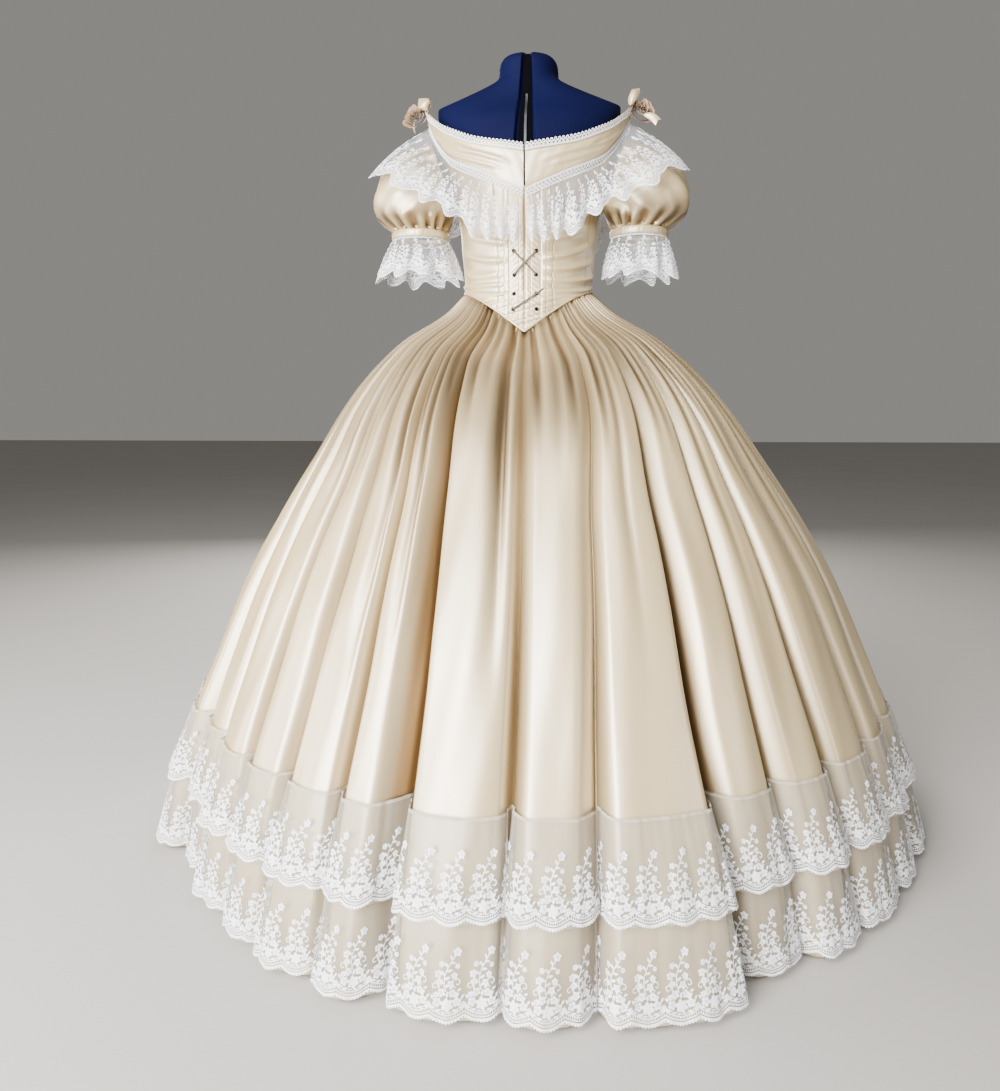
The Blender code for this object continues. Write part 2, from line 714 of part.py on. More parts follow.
def build_eyelets(metal):
    turns = 8
    sides = 4
    for level, (z, clearance) in enumerate(EYELET_ROWS):
        for side, name in ((1.0, "left"), (-1.0, "right")):
            angle = math.atan2(side * EYELET_X, LACING_DEPTH)
            centre = gown_point(np.array(angle), np.array(z), EYELET_WIRE + clearance)
            higher, lower = gown_point(np.array([angle, angle]), np.array([z + 0.012, z - 0.012]))
            upward = (higher - lower) / np.linalg.norm(higher - lower)
            left, right = gown_point(np.array([angle + 0.08, angle - 0.08]), np.array([z, z]))
            across = (left - right) / np.linalg.norm(left - right)
            outward = np.cross(upward, across)
            rings = []
            for turn in range(turns):
                around = 2.0 * math.pi * turn / turns
                spoke = across * math.cos(around) + upward * math.sin(around)
                ring = []
                for side_number in range(sides):
                    inside = 2.0 * math.pi * side_number / sides
                    reach = EYELET_RADIUS + EYELET_WIRE * math.cos(inside)
                    ring.append(centre + spoke * reach + outward * EYELET_WIRE * math.sin(inside))
                rings.append(ring)
            rings = np.array(rings)
            faces = grid_faces(turns, sides, 0, True, False)
            for side_number in range(sides):
                after = (side_number + 1) % sides
                last = (turns - 1) * sides
                faces.append((last + side_number, last + after, after, side_number))
            add_solid(f"eyelet_{name}_{level + 1}", rings.reshape(-1, 3), faces, metal, 60.0)


def lacing_path(start, end, lift, middle_lift, steps):
    path = []
    for share in np.linspace(0.0, 1.0, steps):
        x = start[0] + (end[0] - start[0]) * share
        z = start[1] + (end[1] - start[1]) * share
        raised = lift + middle_lift * math.sin(math.pi * share)
        path.append(gown_point(np.array(math.atan2(x, LACING_DEPTH)), np.array(z), raised))
    return path


def build_lacing(cord):
    first, second, third, fourth = [row[0] for row in EYELET_ROWS]
    cross = lacing_path((EYELET_X, first), (-EYELET_X, second), LACING_LIFT, 0.0, 7)
    add_tube("lacing_cross_under", cross, CORD_RADIUS, cord)
    cross = lacing_path((-EYELET_X, first), (EYELET_X, second), LACING_LIFT, 0.0026, 7)
    add_tube("lacing_cross_over", cross, CORD_RADIUS, cord)
    cross = lacing_path((EYELET_X, fourth), (-0.0345, third + 0.010), LACING_LIFT, 0.0012, 9)
    add_tube("lacing_tail", cross, CORD_RADIUS, cord)


def build_shoulder_trims(rose, ribbon):
    for side, name in ((1.0, "left"), (-1.0, "right")):
        flip = np.array([side, 1.0, 1.0])
        build_rose(f"shoulder_rose_{name}", flip, rose)
        add_ribbon(f"ribbon_loop_{name}", ribbon_path(LOOP_START, LOOP_END, 7), LOOP_WIDTH, flip, ribbon)
        add_ribbon(f"ribbon_tail_{name}", ribbon_path(TAIL_START, TAIL_END, 4), TAIL_WIDTH, flip, ribbon)


def build_rose(name, flip, material):
    """A gathered ribbon rose: wavy layers of petals round a sunk middle, facing out and up."""
    centre = np.array(ROSE_CENTRE)
    facing = np.array(ROSE_FACING)
    facing /= np.linalg.norm(facing)
    across = np.cross(facing, (0.0, 1.0, 0.0))
    across /= np.linalg.norm(across)
    upward = np.cross(across, facing)
    rings = []
    for radius, height, wave in ROSE_ROWS:
        ring = []
        for column in range(ROSE_COLUMNS):
            turn = 2.0 * math.pi * column / ROSE_COLUMNS
            reach = radius + wave * math.cos(ROSE_PETALS * turn + radius * 200.0)
            rise = height + wave * math.sin(ROSE_PETALS * turn)
            point = centre + facing * rise + (across * math.cos(turn) + upward * math.sin(turn)) * reach
            ring.append(point * flip)
        rings.append(ring)
    add_rings(name, rings, material, 60.0)


def ribbon_path(start, end, steps):
    start = np.array(ROSE_CENTRE) + np.array(start)
    end = np.array(ROSE_CENTRE) + np.array(end)
    middle = (start + end) / 2.0 + np.array([0.0, 0.007, 0.004])
    shares = np.linspace(0.0, 1.0, steps)[:, None]
    return start * (1.0 - shares) ** 2 + middle * 2.0 * shares * (1.0 - shares) + end * shares**2


def add_ribbon(name, path, width, flip, material):
    """A flat ribbon along a path, widest in the middle."""
    path = np.asarray(path)
    ahead = np.gradient(path, axis=0)
    ahead /= np.linalg.norm(ahead, axis=1)[:, None]
    sideways = np.cross(ahead, (0.0, 1.0, 0.25))
    sideways /= np.linalg.norm(sideways, axis=1)[:, None]
    normal = np.cross(sideways, ahead)
    spans = width * (0.35 + 0.65 * np.sqrt(np.linspace(0.0, 1.0, len(path))))
    shares = (-0.5, 0.0, 0.5)
    outer = np.array([path + sideways * (spans * share)[:, None] for share in shares])
    outer[1] += normal * RIBBON_CROWN
    inner = outer - normal[None, :, :] * LACE_WALL
    add_wall(name, outer * flip, inner * flip, material)


def form_angles(z):
    """Column angles of the form at a height: the walls and floor of the back gap, then the round body."""
    half = float(np.interp(z, (GAP_LOW_Z, FORM_TOP_Z), (GAP_HALF_WIDTH_LOW, GAP_HALF_WIDTH_TOP)))
    depth = float(smooth_steps(BODY_ROWS, 2, np.array(z)))
    edge = math.atan2(half, depth)
    round_part = np.linspace(edge, 2.0 * math.pi - edge, FORM_COLUMNS)
    return edge, round_part


def build_form(blue, black, steel):
    rings = []
    levels = [row[0] for row in BODY_ROWS]
    for z in levels:
        edge, round_part = form_angles(z)
        width = float(smooth_steps(BODY_ROWS, 1, np.array(z)))
        sink = GAP_DEPTH * min(1.0, width / 0.05)
        body = form_point(round_part, np.full(len(round_part), z))
        floor_angles = np.array([-edge * 0.9, 0.0, edge * 0.9])
        floor = form_point(floor_angles, np.full(3, z), -sink)
        rings.append(np.concatenate([body, floor]))
    add_rings("form_torso", rings, blue, 40.0)
    gap_levels = np.array([z for z in levels if z < PANEL_TOP_Z])[:, None]
    gap = []
    for z in gap_levels[:, 0]:
        edge, _ = form_angles(z)
        gap.append(np.array([-edge * 0.72, 0.0, edge * 0.72]))
    gap = np.array(gap)
    heights = np.broadcast_to(gap_levels, gap.shape)
    outer = form_point(gap, heights, -PANEL_DEPTH)
    inner = form_point(gap, heights, -PANEL_DEPTH - BACK_STRIP_THICKNESS)
    add_wall("form_back_gap", outer, inner, black)
    rail_levels = np.array([z for z in levels if z < RAIL_TOP_Z])[:, None]
    rail = np.array([[-RAIL_HALF_WIDTH, RAIL_HALF_WIDTH]]) * np.ones_like(rail_levels)
    depth = np.array([float(smooth_steps(BODY_ROWS, 2, np.array(z))) for z in rail_levels[:, 0]])[:, None]
    turned = np.arctan2(rail, depth)
    heights = np.broadcast_to(rail_levels, turned.shape)
    outer = form_point(turned, heights, -RAIL_DEPTH)
    inner = form_point(turned, heights, -RAIL_DEPTH - BACK_STRIP_THICKNESS)
    add_wall("form_rail", outer, inner, steel)


def circle(radius, z, columns):
    turns = np.arange(columns) * 2.0 * math.pi / columns
    return np.stack([radius * np.cos(turns), radius * np.sin(turns), np.full(columns, z)], axis=-1)


def build_stand(steel):
    top = BODY_ROWS[0][0] - SEAM_GAP
    low = BASE_THICKNESS + 0.010 + SEAM_GAP
    add_rings("stand_pole", [circle(POLE_RADIUS, z, 20) for z in (low, top)], steel)
    profile = (
        (BASE_RADIUS - 0.003, 0.0),
        (BASE_RADIUS, 0.003),
        (BASE_RADIUS, 0.008),
        (BASE_RADIUS - 0.006, BASE_THICKNESS - 0.003),
        (0.040, BASE_THICKNESS),
        (0.026, BASE_THICKNESS + 0.010),
    )
    add_rings("stand_base", [circle(radius, z, 32) for radius, z in profile], steel)


def main():
    clear_scene()
    satin = make_material("ivory_satin", (0.80, 0.73, 0.58), 0.38)
    lace = make_material("white_lace", (0.82, 0.82, 0.84), 0.75)
    blue = make_material("navy_cover", (0.004, 0.008, 0.075), 0.75)
    black = make_material("black_gap", (0.004, 0.004, 0.006), 0.9)
    steel = make_material("stand_steel", (0.30, 0.30, 0.32), 0.35, 1.0)
    bronze = make_material("eyelet_bronze", (0.12, 0.09, 0.06), 0.4, 1.0)
    cord = make_material("taupe_cord", (0.27, 0.21, 0.14), 0.8)
    rose = make_material("taupe_ribbon", (0.38, 0.25, 0.17), 0.5)
    build_form(blue, black, steel)
    build_stand(steel)
    build_bodice(satin)
    build_piping(satin)
    build_bertha(satin, lace)
    build_bertha_ruffle(lace)
    build_sleeves(satin, lace)
    build_eyelets(bronze)
    build_lacing(cord)
    build_shoulder_trims(rose, satin)
    grid = skirt_grid()
    build_skirt(grid, satin)
    for name, top_z, hem_z, top_offset, hem_offset in FLOUNCE_ROWS:
        build_flounce(grid, name, top_z, hem_z, top_offset, hem_offset, lace)


main()
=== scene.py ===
"""Looks of the back-laced ball gown on its dress form: cloth, lace, lacing, ribbons, light and camera.

Metres, +Z up. The wearer's front faces -Y, the laced back +Y, and the wearer's left is +X.
Angles round the gown start at the centre back and grow towards the wearer's left.
"""
import math

import bpy
import numpy as np
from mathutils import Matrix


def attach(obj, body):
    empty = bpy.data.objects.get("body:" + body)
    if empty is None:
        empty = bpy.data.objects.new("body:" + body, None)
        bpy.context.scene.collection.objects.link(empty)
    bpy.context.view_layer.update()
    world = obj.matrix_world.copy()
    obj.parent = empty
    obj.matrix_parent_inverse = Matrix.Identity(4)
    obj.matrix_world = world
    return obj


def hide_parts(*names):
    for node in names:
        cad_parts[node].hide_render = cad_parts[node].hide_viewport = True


bl_info = {
    "name": "Ball Gown",
    "version": (1, 0, 0),
    "blender": (4, 5, 0),
    "location": "View3D > Sidebar > Gown",
    "description": "Dresses the packed ball gown and its form with cloth, lace, lacing and ribbons",
    "category": "Object",
}

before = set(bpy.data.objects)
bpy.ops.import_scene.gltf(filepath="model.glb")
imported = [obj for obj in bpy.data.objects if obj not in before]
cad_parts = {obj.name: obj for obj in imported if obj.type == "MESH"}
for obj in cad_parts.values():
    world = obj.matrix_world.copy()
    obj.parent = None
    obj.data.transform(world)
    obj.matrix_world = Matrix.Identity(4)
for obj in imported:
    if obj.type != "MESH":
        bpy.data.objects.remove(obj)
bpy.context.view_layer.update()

# Body sections: height, half width and half depth of the form, then of the gown, and centre offset in Y
BODY_ROWS = (
    (0.800, 0.148, 0.120, 0.170, 0.140, 0.000),
    (0.860, 0.156, 0.124, 0.168, 0.136, 0.000),
    (0.930, 0.1427, 0.1127, 0.150, 0.121, 0.000),
    (0.975, 0.1266, 0.1006, 0.134, 0.109, 0.000),
    (1.020, 0.1146, 0.0926, 0.122, 0.101, 0.000),
    (1.080, 0.118, 0.096, 0.126, 0.105, 0.000),
    (1.140, 0.123, 0.102, 0.131, 0.112, -0.002),
    (1.200, 0.136, 0.110, 0.145, 0.120, -0.004),
    (1.260, 0.150, 0.109, 0.163, 0.120, -0.002),
    (1.310, 0.167, 0.094, 0.181, 0.112, 0.000),
    (1.343, 0.172, 0.068, 0.190, 0.100, 0.002),
    (1.356, 0.142, 0.062, 0.192, 0.097, 0.002),
    (1.368, 0.110, 0.059, 0.192, 0.095, 0.002),
    (1.379, 0.082, 0.057, 0.192, 0.095, 0.002),
    (1.388, 0.064, 0.056, 0.192, 0.095, 0.002),
    (1.397, 0.056, 0.055, 0.192, 0.095, 0.002),
    (1.417, 0.054, 0.054, 0.192, 0.095, 0.002),
    (1.428, 0.048, 0.048, 0.192, 0.095, 0.002),
    (1.434, 0.034, 0.034, 0.192, 0.095, 0.002),
)
FORM_WIDTH = 1
FORM_DEPTH = 2
GOWN_WIDTH = 3
GOWN_DEPTH = 4
BODY_CENTRE = 5
BODY_POWER = 2.25
FORM_TOP_Z = 1.434
FORM_LOW_Z = 0.800
SIDES = (("left", 1.0), ("right", -1.0))

# Bodice edge and skirt
WAIST_SIDE_Z = 1.015
WAIST_POINT_Z = 0.934
WAIST_POINT_POWER = 1.1
PIPING_WIDTH = 0.003
SEAM_GAP = 0.0004
SATIN_HEM_Z = 0.004
HEM_HALF_WIDTH = 0.720
HEM_HALF_DEPTH = 0.700
SKIRT_DRIFT_X = -0.021
PANEL_BULGE = 0.013
CREASE_DEPTH = 0.013
CREASE_WIDTH = 0.040
BODICE_TOP_Z = 1.184
BODICE_TOP_RISE = 0.034

# Skirt profile from the bodice edge to the hem: share of the drop, share of the spread
PROFILE_ROWS = (
    (0.000, 0.000),
    (0.035, 0.060),
    (0.094, 0.217),
    (0.192, 0.378),
    (0.300, 0.503),
    (0.420, 0.632),
    (0.517, 0.724),
    (0.640, 0.816),
    (0.760, 0.900),
    (0.880, 0.960),
    (1.000, 1.000),
)

# Skirt valleys across the back from right to left: degrees from the centre back at hem, low, middle,
# high and top, depth, reach of the panel left of it, and the share of the panel that its walls take,
# on its right and on its left
VALLEY_LEVELS = (0.0, 0.15, 0.35, 0.60, 1.0)
VALLEY_ROWS = (
    (-79.5, -80.0, -80.5, -82.0, -83.5, 0.022, 0.000, 0.20, 0.16),
    (-68.5, -69.0, -70.5, -73.0, -76.5, 0.028, -0.010, 0.16, 0.22),
    (-58.0, -58.0, -60.0, -64.0, -69.0, 0.025, -0.010, 0.24, 0.16),
    (-47.5, -47.0, -49.5, -55.0, -61.0, 0.028, -0.016, 0.16, 0.26),
    (-37.0, -36.0, -39.0, -46.0, -54.0, 0.020, -0.030, 0.26, 0.18),
    (-27.5, -25.8, -28.0, -35.0, -45.0, 0.030, 0.012, 0.32, 0.15),
    (-9.6, -11.5, -14.5, -22.0, -31.0, 0.018, 0.000, 0.13, 0.30),
    (0.5, 0.0, 0.0, 0.0, 0.0, 0.020, -0.002, 0.20, 0.13),
    (13.6, 14.3, 17.3, 22.5, 33.0, 0.044, -0.003, 0.14, 0.48),
    (23.0, 23.5, 26.5, 33.5, 45.0, 0.018, -0.014, 0.22, 0.16),
    (32.5, 33.0, 36.0, 43.5, 54.0, 0.022, -0.028, 0.18, 0.24),
    (42.0, 42.5, 45.5, 52.5, 61.5, 0.028, -0.036, 0.26, 0.16),
    (52.5, 53.0, 55.5, 61.5, 68.5, 0.022, -0.050, 0.18, 0.22),
    (63.0, 63.5, 65.5, 70.0, 75.5, 0.024, 0.000, 0.16, 0.20),
    (74.0, 74.8, 76.5, 79.0, 82.5, 0.026, 0.004, 0.22, 0.16),
    (90.0, 90.0, 90.0, 90.0, 90.0, 0.022, 0.000, 0.18, 0.18),
)
VALLEY_DEPTH = 5
VALLEY_REACH = 6
RIGHT_WALL = 7
LEFT_WALL = 8
DEEPEST_VALLEY = 0.030
DROP_STEPS = 200
VALLEY_GROWTH = ((0.0, 0.22), (0.06, 0.40), (0.15, 0.56), (0.35, 0.73), (0.60, 0.86), (1.0, 1.0))
FOLD_COUNT = 32
CENTRE_BACK_FOLD = 7

# Turned edge of the satin's hem: distance inward, and up
HEM_TURN = ((0.0012, -0.0012), (0.0030, 0.0), (0.0034, 0.012), (0.0034, 0.030))

# Fine pleats under the bodice: places across each fold, half widths on their two sides
PLEAT_PLACES = (0.27, 0.52, 0.77)
PLEAT_WIDTHS = (0.045, 0.120)
DEEPEST_PLEAT = 0.012

# Soft hollows in the satin: degrees from the centre back, share of the drop, half width in degrees,
# half height as a share of the drop, depth
HOLLOW_ROWS = (
    (5.5, 0.13, 5.0, 0.10, 0.010),
    (-8.0, 0.09, 5.0, 0.06, 0.008),
    (-22.0, 0.11, 5.0, 0.06, 0.008),
    (32.0, 0.42, 4.5, 0.16, 0.009),
    (7.0, 0.46, 3.0, 0.22, -0.004),
    (-5.0, 0.62, 4.0, 0.14, 0.005),
    (-18.0, 0.50, 4.0, 0.16, 0.006),
    (-32.0, 0.34, 4.0, 0.12, 0.007),
    (-43.0, 0.52, 4.5, 0.16, 0.008),
    (47.0, 0.30, 4.0, 0.12, 0.007),
    (58.0, 0.55, 5.0, 0.16, 0.008),
    (-62.0, 0.36, 5.0, 0.16, 0.008),
)

# Flounces: name, seam height, hem height, distance out from the satin at the seam and at the hem,
# and where their ripples start
FLOUNCE_ROWS = (
    ("upper_flounce", 0.257, 0.135, 0.006, 0.018, 0.0),
    ("lower_flounce", 0.168, 0.0155, 0.008, 0.018, 1.9),
)

# Collar heights by angle from the centre back: angle, neckline, lower edge of the bertha
COLLAR_ROWS = (
    (0.0, 1.251, 1.169),
    (36.0, 1.266, 1.205),
    (62.0, 1.295, 1.236),
    (76.0, 1.322, 1.272),
    (90.0, 1.347, 1.324),
    (104.0, 1.320, 1.270),
    (118.0, 1.286, 1.229),
    (144.0, 1.250, 1.190),
    (180.0, 1.233, 1.150),
)

# Hem of the bertha ruffle, left half: angle, x, y, z
RUFFLE_ROWS = (
    (0.0, 0.004, 0.138, 1.088),
    (36.0, 0.078, 0.138, 1.094),
    (54.0, 0.142, 0.126, 1.145),
    (66.0, 0.190, 0.116, 1.166),
    (78.0, 0.245, 0.094, 1.204),
    (90.0, 0.286, 0.000, 1.236),
    (102.0, 0.245, -0.094, 1.203),
    (114.0, 0.190, -0.118, 1.164),
    (126.0, 0.142, -0.130, 1.138),
    (144.0, 0.078, -0.144, 1.086),
    (180.0, 0.004, -0.144, 1.072),
)
RUFFLE_WAVES = 16
RUFFLE_WAVE_DEPTH = 0.021
RUFFLE_WAVE_DROP = 0.0085
RUFFLE_BULGE = 0.0126
RUFFLE_SCALLOP = 0.044
BRAID_REPEAT = 0.0072

# Left puff sleeve from the armhole down: centre x, centre z, tilt in degrees, half width, half depth
SLEEVE_ROWS = (
    (0.1662, 1.243, 70.0, 0.052, 0.036),
    (0.190, 1.230, 45.0, 0.062, 0.051),
    (0.213, 1.204, 17.0, 0.076, 0.068),
    (0.219, 1.180, 5.0, 0.0790, 0.077),
    (0.218, 1.155, 0.0, 0.073, 0.074),
    (0.214, 1.138, 0.0, 0.062, 0.064),
    (0.210, 1.128, 0.0, 0.053, 0.054),
)
SLEEVE_SWELL = {"left": 1.0, "right": 1.07}
BAND_DROP = 0.014
CUFF_HEM_Z = 1.042
CUFF_HEM_RADIUS = {"left": 0.080, "right": 0.066}
CUFF_WAVES = 10
CUFF_WAVE_DEPTH = 0.0080
CUFF_WAVE_DROP = 0.0065
SLEEVE_AXIS_X = 0.213
SLEEVE_GATHERS = 15.0
GATHER_DEPTH = 0.0125
HIGH_GATHER_DEPTH = 0.0048
SLUMP_DEPTH = 0.0050

# Profile of a sleeve band from its upper edge: drop, and how far it stands out from the sleeve's end
BAND_PROFILE = (
    (0.0, -0.0012),
    (0.0, 0.0008),
    (0.002, 0.0022),
    (0.007, 0.0026),
    (0.012, 0.0020),
    (BAND_DROP, 0.0006),
    (BAND_DROP, -0.0012),
)

# Draped creases across the bodice's back: first and last angle, height at each, sag between, ridge
# height and width
BACK_CREASES = (
    (12.0, 62.0, 1.088, 1.112, -0.006, 0.0030, 0.0060),
    (14.0, 70.0, 1.060, 1.084, -0.010, 0.0034, 0.0055),
    (16.0, 80.0, 1.040, 1.050, -0.012, 0.0026, 0.0070),
    (16.0, 85.0, 1.018, 1.024, -0.004, 0.0034, 0.0040),
    (10.0, 80.0, 1.002, 1.016, -0.008, 0.0024, 0.0030),
    (-66.0, -14.0, 1.122, 1.090, -0.004, 0.0034, 0.0070),
    (-74.0, -13.0, 1.104, 1.062, -0.012, 0.0038, 0.0055),
    (-82.0, -14.0, 1.078, 1.046, -0.014, 0.0034, 0.0060),
    (-86.0, -15.0, 1.046, 1.028, -0.012, 0.0030, 0.0045),
    (-86.0, -12.0, 1.022, 1.006, -0.008, 0.0030, 0.0035),
    (-84.0, -10.0, 1.010, 0.990, -0.004, 0.0022, 0.0028),
)

# Creases across the front: the same kind, in degrees from the centre front
FRONT_CREASES = (
    (20.0, 84.0, 1.012, 1.028, -0.008, 0.0026, 0.0050),
    (16.0, 78.0, 1.050, 1.072, -0.010, 0.0022, 0.0070),
    (-84.0, -20.0, 1.026, 1.010, -0.008, 0.0026, 0.0050),
    (-78.0, -18.0, 1.078, 1.052, -0.010, 0.0024, 0.0070),
)

# Bodice pieces: name, first and last angle, columns, rows
BODICE_PIECES = (
    ("bodice_back_left", 0.0, 27.0, 76, 150),
    ("bodice_back_right", -27.0, 0.0, 76, 150),
    ("bodice_side_back_left", 27.0, 63.0, 40, 100),
    ("bodice_side_back_right", -63.0, -27.0, 40, 100),
    ("bodice_side_front_left", 63.0, 117.0, 40, 80),
    ("bodice_side_front_right", -117.0, -63.0, 40, 80),
    ("bodice_front_left", 117.0, 153.0, 36, 80),
    ("bodice_front_right", -153.0, -117.0, 36, 80),
    ("bodice_centre_front", 153.0, 207.0, 50, 90),
)

# Stitched lines of the boning channels, in metres from the centre back, and seams in degrees
CHANNEL_LINES = (0.0105, 0.0285, 0.0385)
BODICE_SEAMS = (27.0, 63.0, 117.0, 153.0)
SEAM_TRIM = 0.10

# Puckers beside the channels: place and spread across, depth, pace down the bodice, start
PUCKER_ROWS = (
    (0.020, 0.009, 0.00095, 640.0, 1.0),
    (0.043, 0.008, 0.00085, 720.0, 2.7),
    (0.006, 0.004, 0.00050, 560.0, 4.1),
)

# Pieces of the bertha: name, first and last angle, columns
BERTHA_PIECES = (
    ("bertha_back_left", 0.8, 89.8, 110),
    ("bertha_back_right", 270.2, 359.2, 110),
    ("bertha_front", 90.2, 269.8, 200),
)

# Creases of the bertha: share of its depth, slope, height, width, and first and last degrees from the back
BERTHA_CREASES = (
    (0.36, -0.10, 0.0040, 0.080, 8.0, 66.0),
    (0.62, 0.12, 0.0036, 0.070, 12.0, 80.0),
    (0.48, 0.24, 0.0030, 0.060, 30.0, 86.0),
    (0.34, 0.06, 0.0036, 0.080, 96.0, 172.0),
    (0.60, -0.12, 0.0040, 0.080, 100.0, 164.0),
)

# Edges of the back opening, which part a little between the eyelets; the parting is not modelled but
# painted, as lines of painted shade
PARTING_TOP_Z = 1.066
PARTING_LOW_Z = 1.002
PARTING_HALF_WIDTH = 0.0048

# Lacing on the back, from the top pair of eyelets down
EYELET_ROWS_Z = (1.075, 1.034, 1.000, 0.972)
EYELET_X = 0.0205
EYELET_RADIUS = 0.0029
EYELET_RIM = 0.00095
HOLE_RADIUS = 0.0025
EYELET_LIFT = 0.0017
LACING_DEPTH = 0.105
LACING_LIFT = 0.0037

# Shoulder trims: places from the rose's centre, on the left side
ROSE_CENTRE = (0.2088, 0.014, 1.332)
ROSE_FACING = (0.28, 0.88, 0.38)
ROSE_STAND = 0.009
ROSE_TURNS = 3.6
ROSE_HEART_RADIUS = 0.0042
LOOP_START = (-0.0203, 0.0123, 0.0113)
LOOP_END = {"left": (-0.013, 0.010, 0.024), "right": (-0.010, 0.006, 0.036)}
LOOP_HALF_WIDTH = {"left": 0.0125, "right": 0.0085}
LOOP_ROOT_HALF_WIDTH = 0.0030
RIBBON_COLUMNS = 9
TAIL_START = {"left": (0.004, -0.002, -0.006), "right": (0.0054, 0.0207, -0.0092)}
TAIL_END = {"left": (0.014, -0.034, -0.010), "right": (0.030, 0.024, -0.024)}

# Back gap and rail of the dress form
GAP_HALF_WIDTH_TOP = 0.009
GAP_HALF_WIDTH_LOW = 0.020
GAP_LOW_Z = 1.25
GAP_DEPTH = 0.012
PANEL_DEPTH = 0.0092
RAIL_DEPTH = 0.0068
RAIL_HALF_WIDTH = 0.0022
RAIL_TOP_Z = 1.356
GROOVE_REACH = 0.30

# Rings of the form's rounded top: share of the last section's size, and rise above it
FORM_CAP = ((0.75, 0.0022), (0.45, 0.0036), (0.15, 0.0042), (0.0, 0.0043))

# Camera, from the photograph's perspective
CAMERA_DISTANCE = 1.67
CAMERA_HEIGHT = 0.79
CAMERA_TURN = 4.0
CAMERA_TILT = 9.23
LENS_MM = 27.39
PHOTO_LONG_SIDE = 1091
AXIS_PIXEL_OFFSET = 29
SENSOR_WIDTH = 36.0

# Lights: name, place, target, width and height, watts, colour
LIGHT_ROWS = (
    ("window_left", (1.35, 2.6, 1.4), (0.0, 0.1, 0.9), (1.7, 2.7), 520.0, (1.0, 0.99, 0.98)),
    ("window_beside", (3.0, 0.9, 0.8), (0.0, 0.1, 0.5), (1.3, 1.4), 75.0, (1.0, 0.99, 0.98)),
    ("sky_above", (0.6, 2.2, 3.1), (0.0, 0.0, 0.7), (1.8, 1.4), 95.0, (1.0, 0.97, 0.92)),
    ("fill_right", (-2.4, 1.9, 1.1), (0.0, 0.0, 0.6), (0.8, 1.8), 20.0, (0.97, 0.98, 1.0)),
    ("fill_front", (0.6, -3.0, 1.8), (0.0, 0.0, 0.7), (2.2, 1.8), 170.0, (1.0, 0.98, 0.96)),
)
FLOOR_SIZE = 40.0
FLOOR_PALE = (0.36, 0.345, 0.325)
FLOOR_DARK = (0.33, 0.315, 0.295)
AIR_COLOUR = (0.66, 0.635, 0.60)

# Turned edges of the sheer cloths at their seams
TURNED_ORGANZA = 0.0045
TURNED_NET = 0.003

# Hard finishes: colour, roughness, metallic, scale of the grain
HARD_FINISHES = {
    # black_gap: the form's black gap panel, and also the black discs of painted shade in the eyelet holes
    "black_gap": ((0.0010, 0.0010, 0.0016), 0.9, 0.0, 500.0),
    "stand_steel": ((0.07, 0.075, 0.085), 0.5, 1.0, 800.0),
    "eyelet_bronze": ((0.045, 0.029, 0.018), 0.42, 1.0, 3000.0),
}


# Tables and easing
def smooth_curve(knots, values, x):
    """Smooth curve through the knots that never overshoots them."""
    knots = np.asarray(knots, float)
    values = np.asarray(values, float)
    widths = np.diff(knots)
    slopes = np.diff(values) / widths
    tangents = np.zeros_like(values)
    before = slopes[:-1]
    after = slopes[1:]
    same_way = before * after > 0
    total = np.where(same_way, before + after, 1.0)
    tangents[1:-1] = np.where(same_way, 2.0 * before * after / total, 0.0)
    tangents[0] = slopes[0]
    tangents[-1] = slopes[-1]
    x = np.clip(x, knots[0], knots[-1])
    place = np.clip(np.searchsorted(knots, x, side="right") - 1, 0, len(widths) - 1)
    width = widths[place]
    t = (x - knots[place]) / width
    blend = values[place] * (1.0 - t * t * (3.0 - 2.0 * t)) + values[place + 1] * t * t * (3.0 - 2.0 * t)
    return blend + (tangents[place] * t * (1.0 - t) ** 2 + tangents[place + 1] * t * t * (t - 1.0)) * width


def table_value(rows, column, x):
    table = np.asarray(rows, float)
    return smooth_curve(table[:, 0], table[:, column], x)


def ease(x):
    x = np.clip(x, 0.0, 1.0)
    return x * x * (3.0 - 2.0 * x)


def wander(x, seed):
    """A slow uneven wave between -1 and 1."""
    return (np.sin(x + seed) + np.sin(1.73 * x + 2.1 * seed) + np.sin(2.91 * x + 0.7 * seed)) / 3.0


def uneven(number, seed):
    """A fixed value between 0 and 1 for each whole number."""
    return np.abs(np.sin(number * 12.9898 + seed * 78.233) * 43758.5453) % 1.0


def unit(vectors):
    return vectors / np.linalg.norm(vectors, axis=-1, keepdims=True)


def flipped(mirror):
    return np.array([mirror, 1.0, 1.0])


# Surfaces of the body
def body_radius(angle, z, width_column, depth_column):
    width = table_value(BODY_ROWS, width_column, z)
    depth = table_value(BODY_ROWS, depth_column, z)
    side = np.abs(np.sin(angle)) / width
    back = np.abs(np.cos(angle)) / depth
    return (side**BODY_POWER + back**BODY_POWER) ** (-1.0 / BODY_POWER)


def body_point(angle, z, width_column, depth_column, offset):
    angle, z = np.broadcast_arrays(angle, z)
    radius = body_radius(angle, z, width_column, depth_column) + offset
    centre = table_value(BODY_ROWS, BODY_CENTRE, z)
    return np.stack([radius * np.sin(angle), radius * np.cos(angle) + centre, z], axis=-1)


def form_point(angle, z, offset=0.0):
    return body_point(angle, z, FORM_WIDTH, FORM_DEPTH, offset)


def gown_point(angle, z, offset=0.0):
    return body_point(angle, z, GOWN_WIDTH, GOWN_DEPTH, offset)


def fold_degrees(angle):
    degrees = np.degrees(angle) % 360.0
    return np.minimum(degrees, 360.0 - degrees)


def waist_z(angle):
    dip = (1.0 - np.abs(np.sin(angle))) ** WAIST_POINT_POWER
    return WAIST_SIDE_Z - (WAIST_SIDE_Z - WAIST_POINT_Z) * dip


def neckline_z(angle):
    return table_value(COLLAR_ROWS, 1, fold_degrees(angle))


def bertha_low_z(angle):
    return table_value(COLLAR_ROWS, 2, fold_degrees(angle))


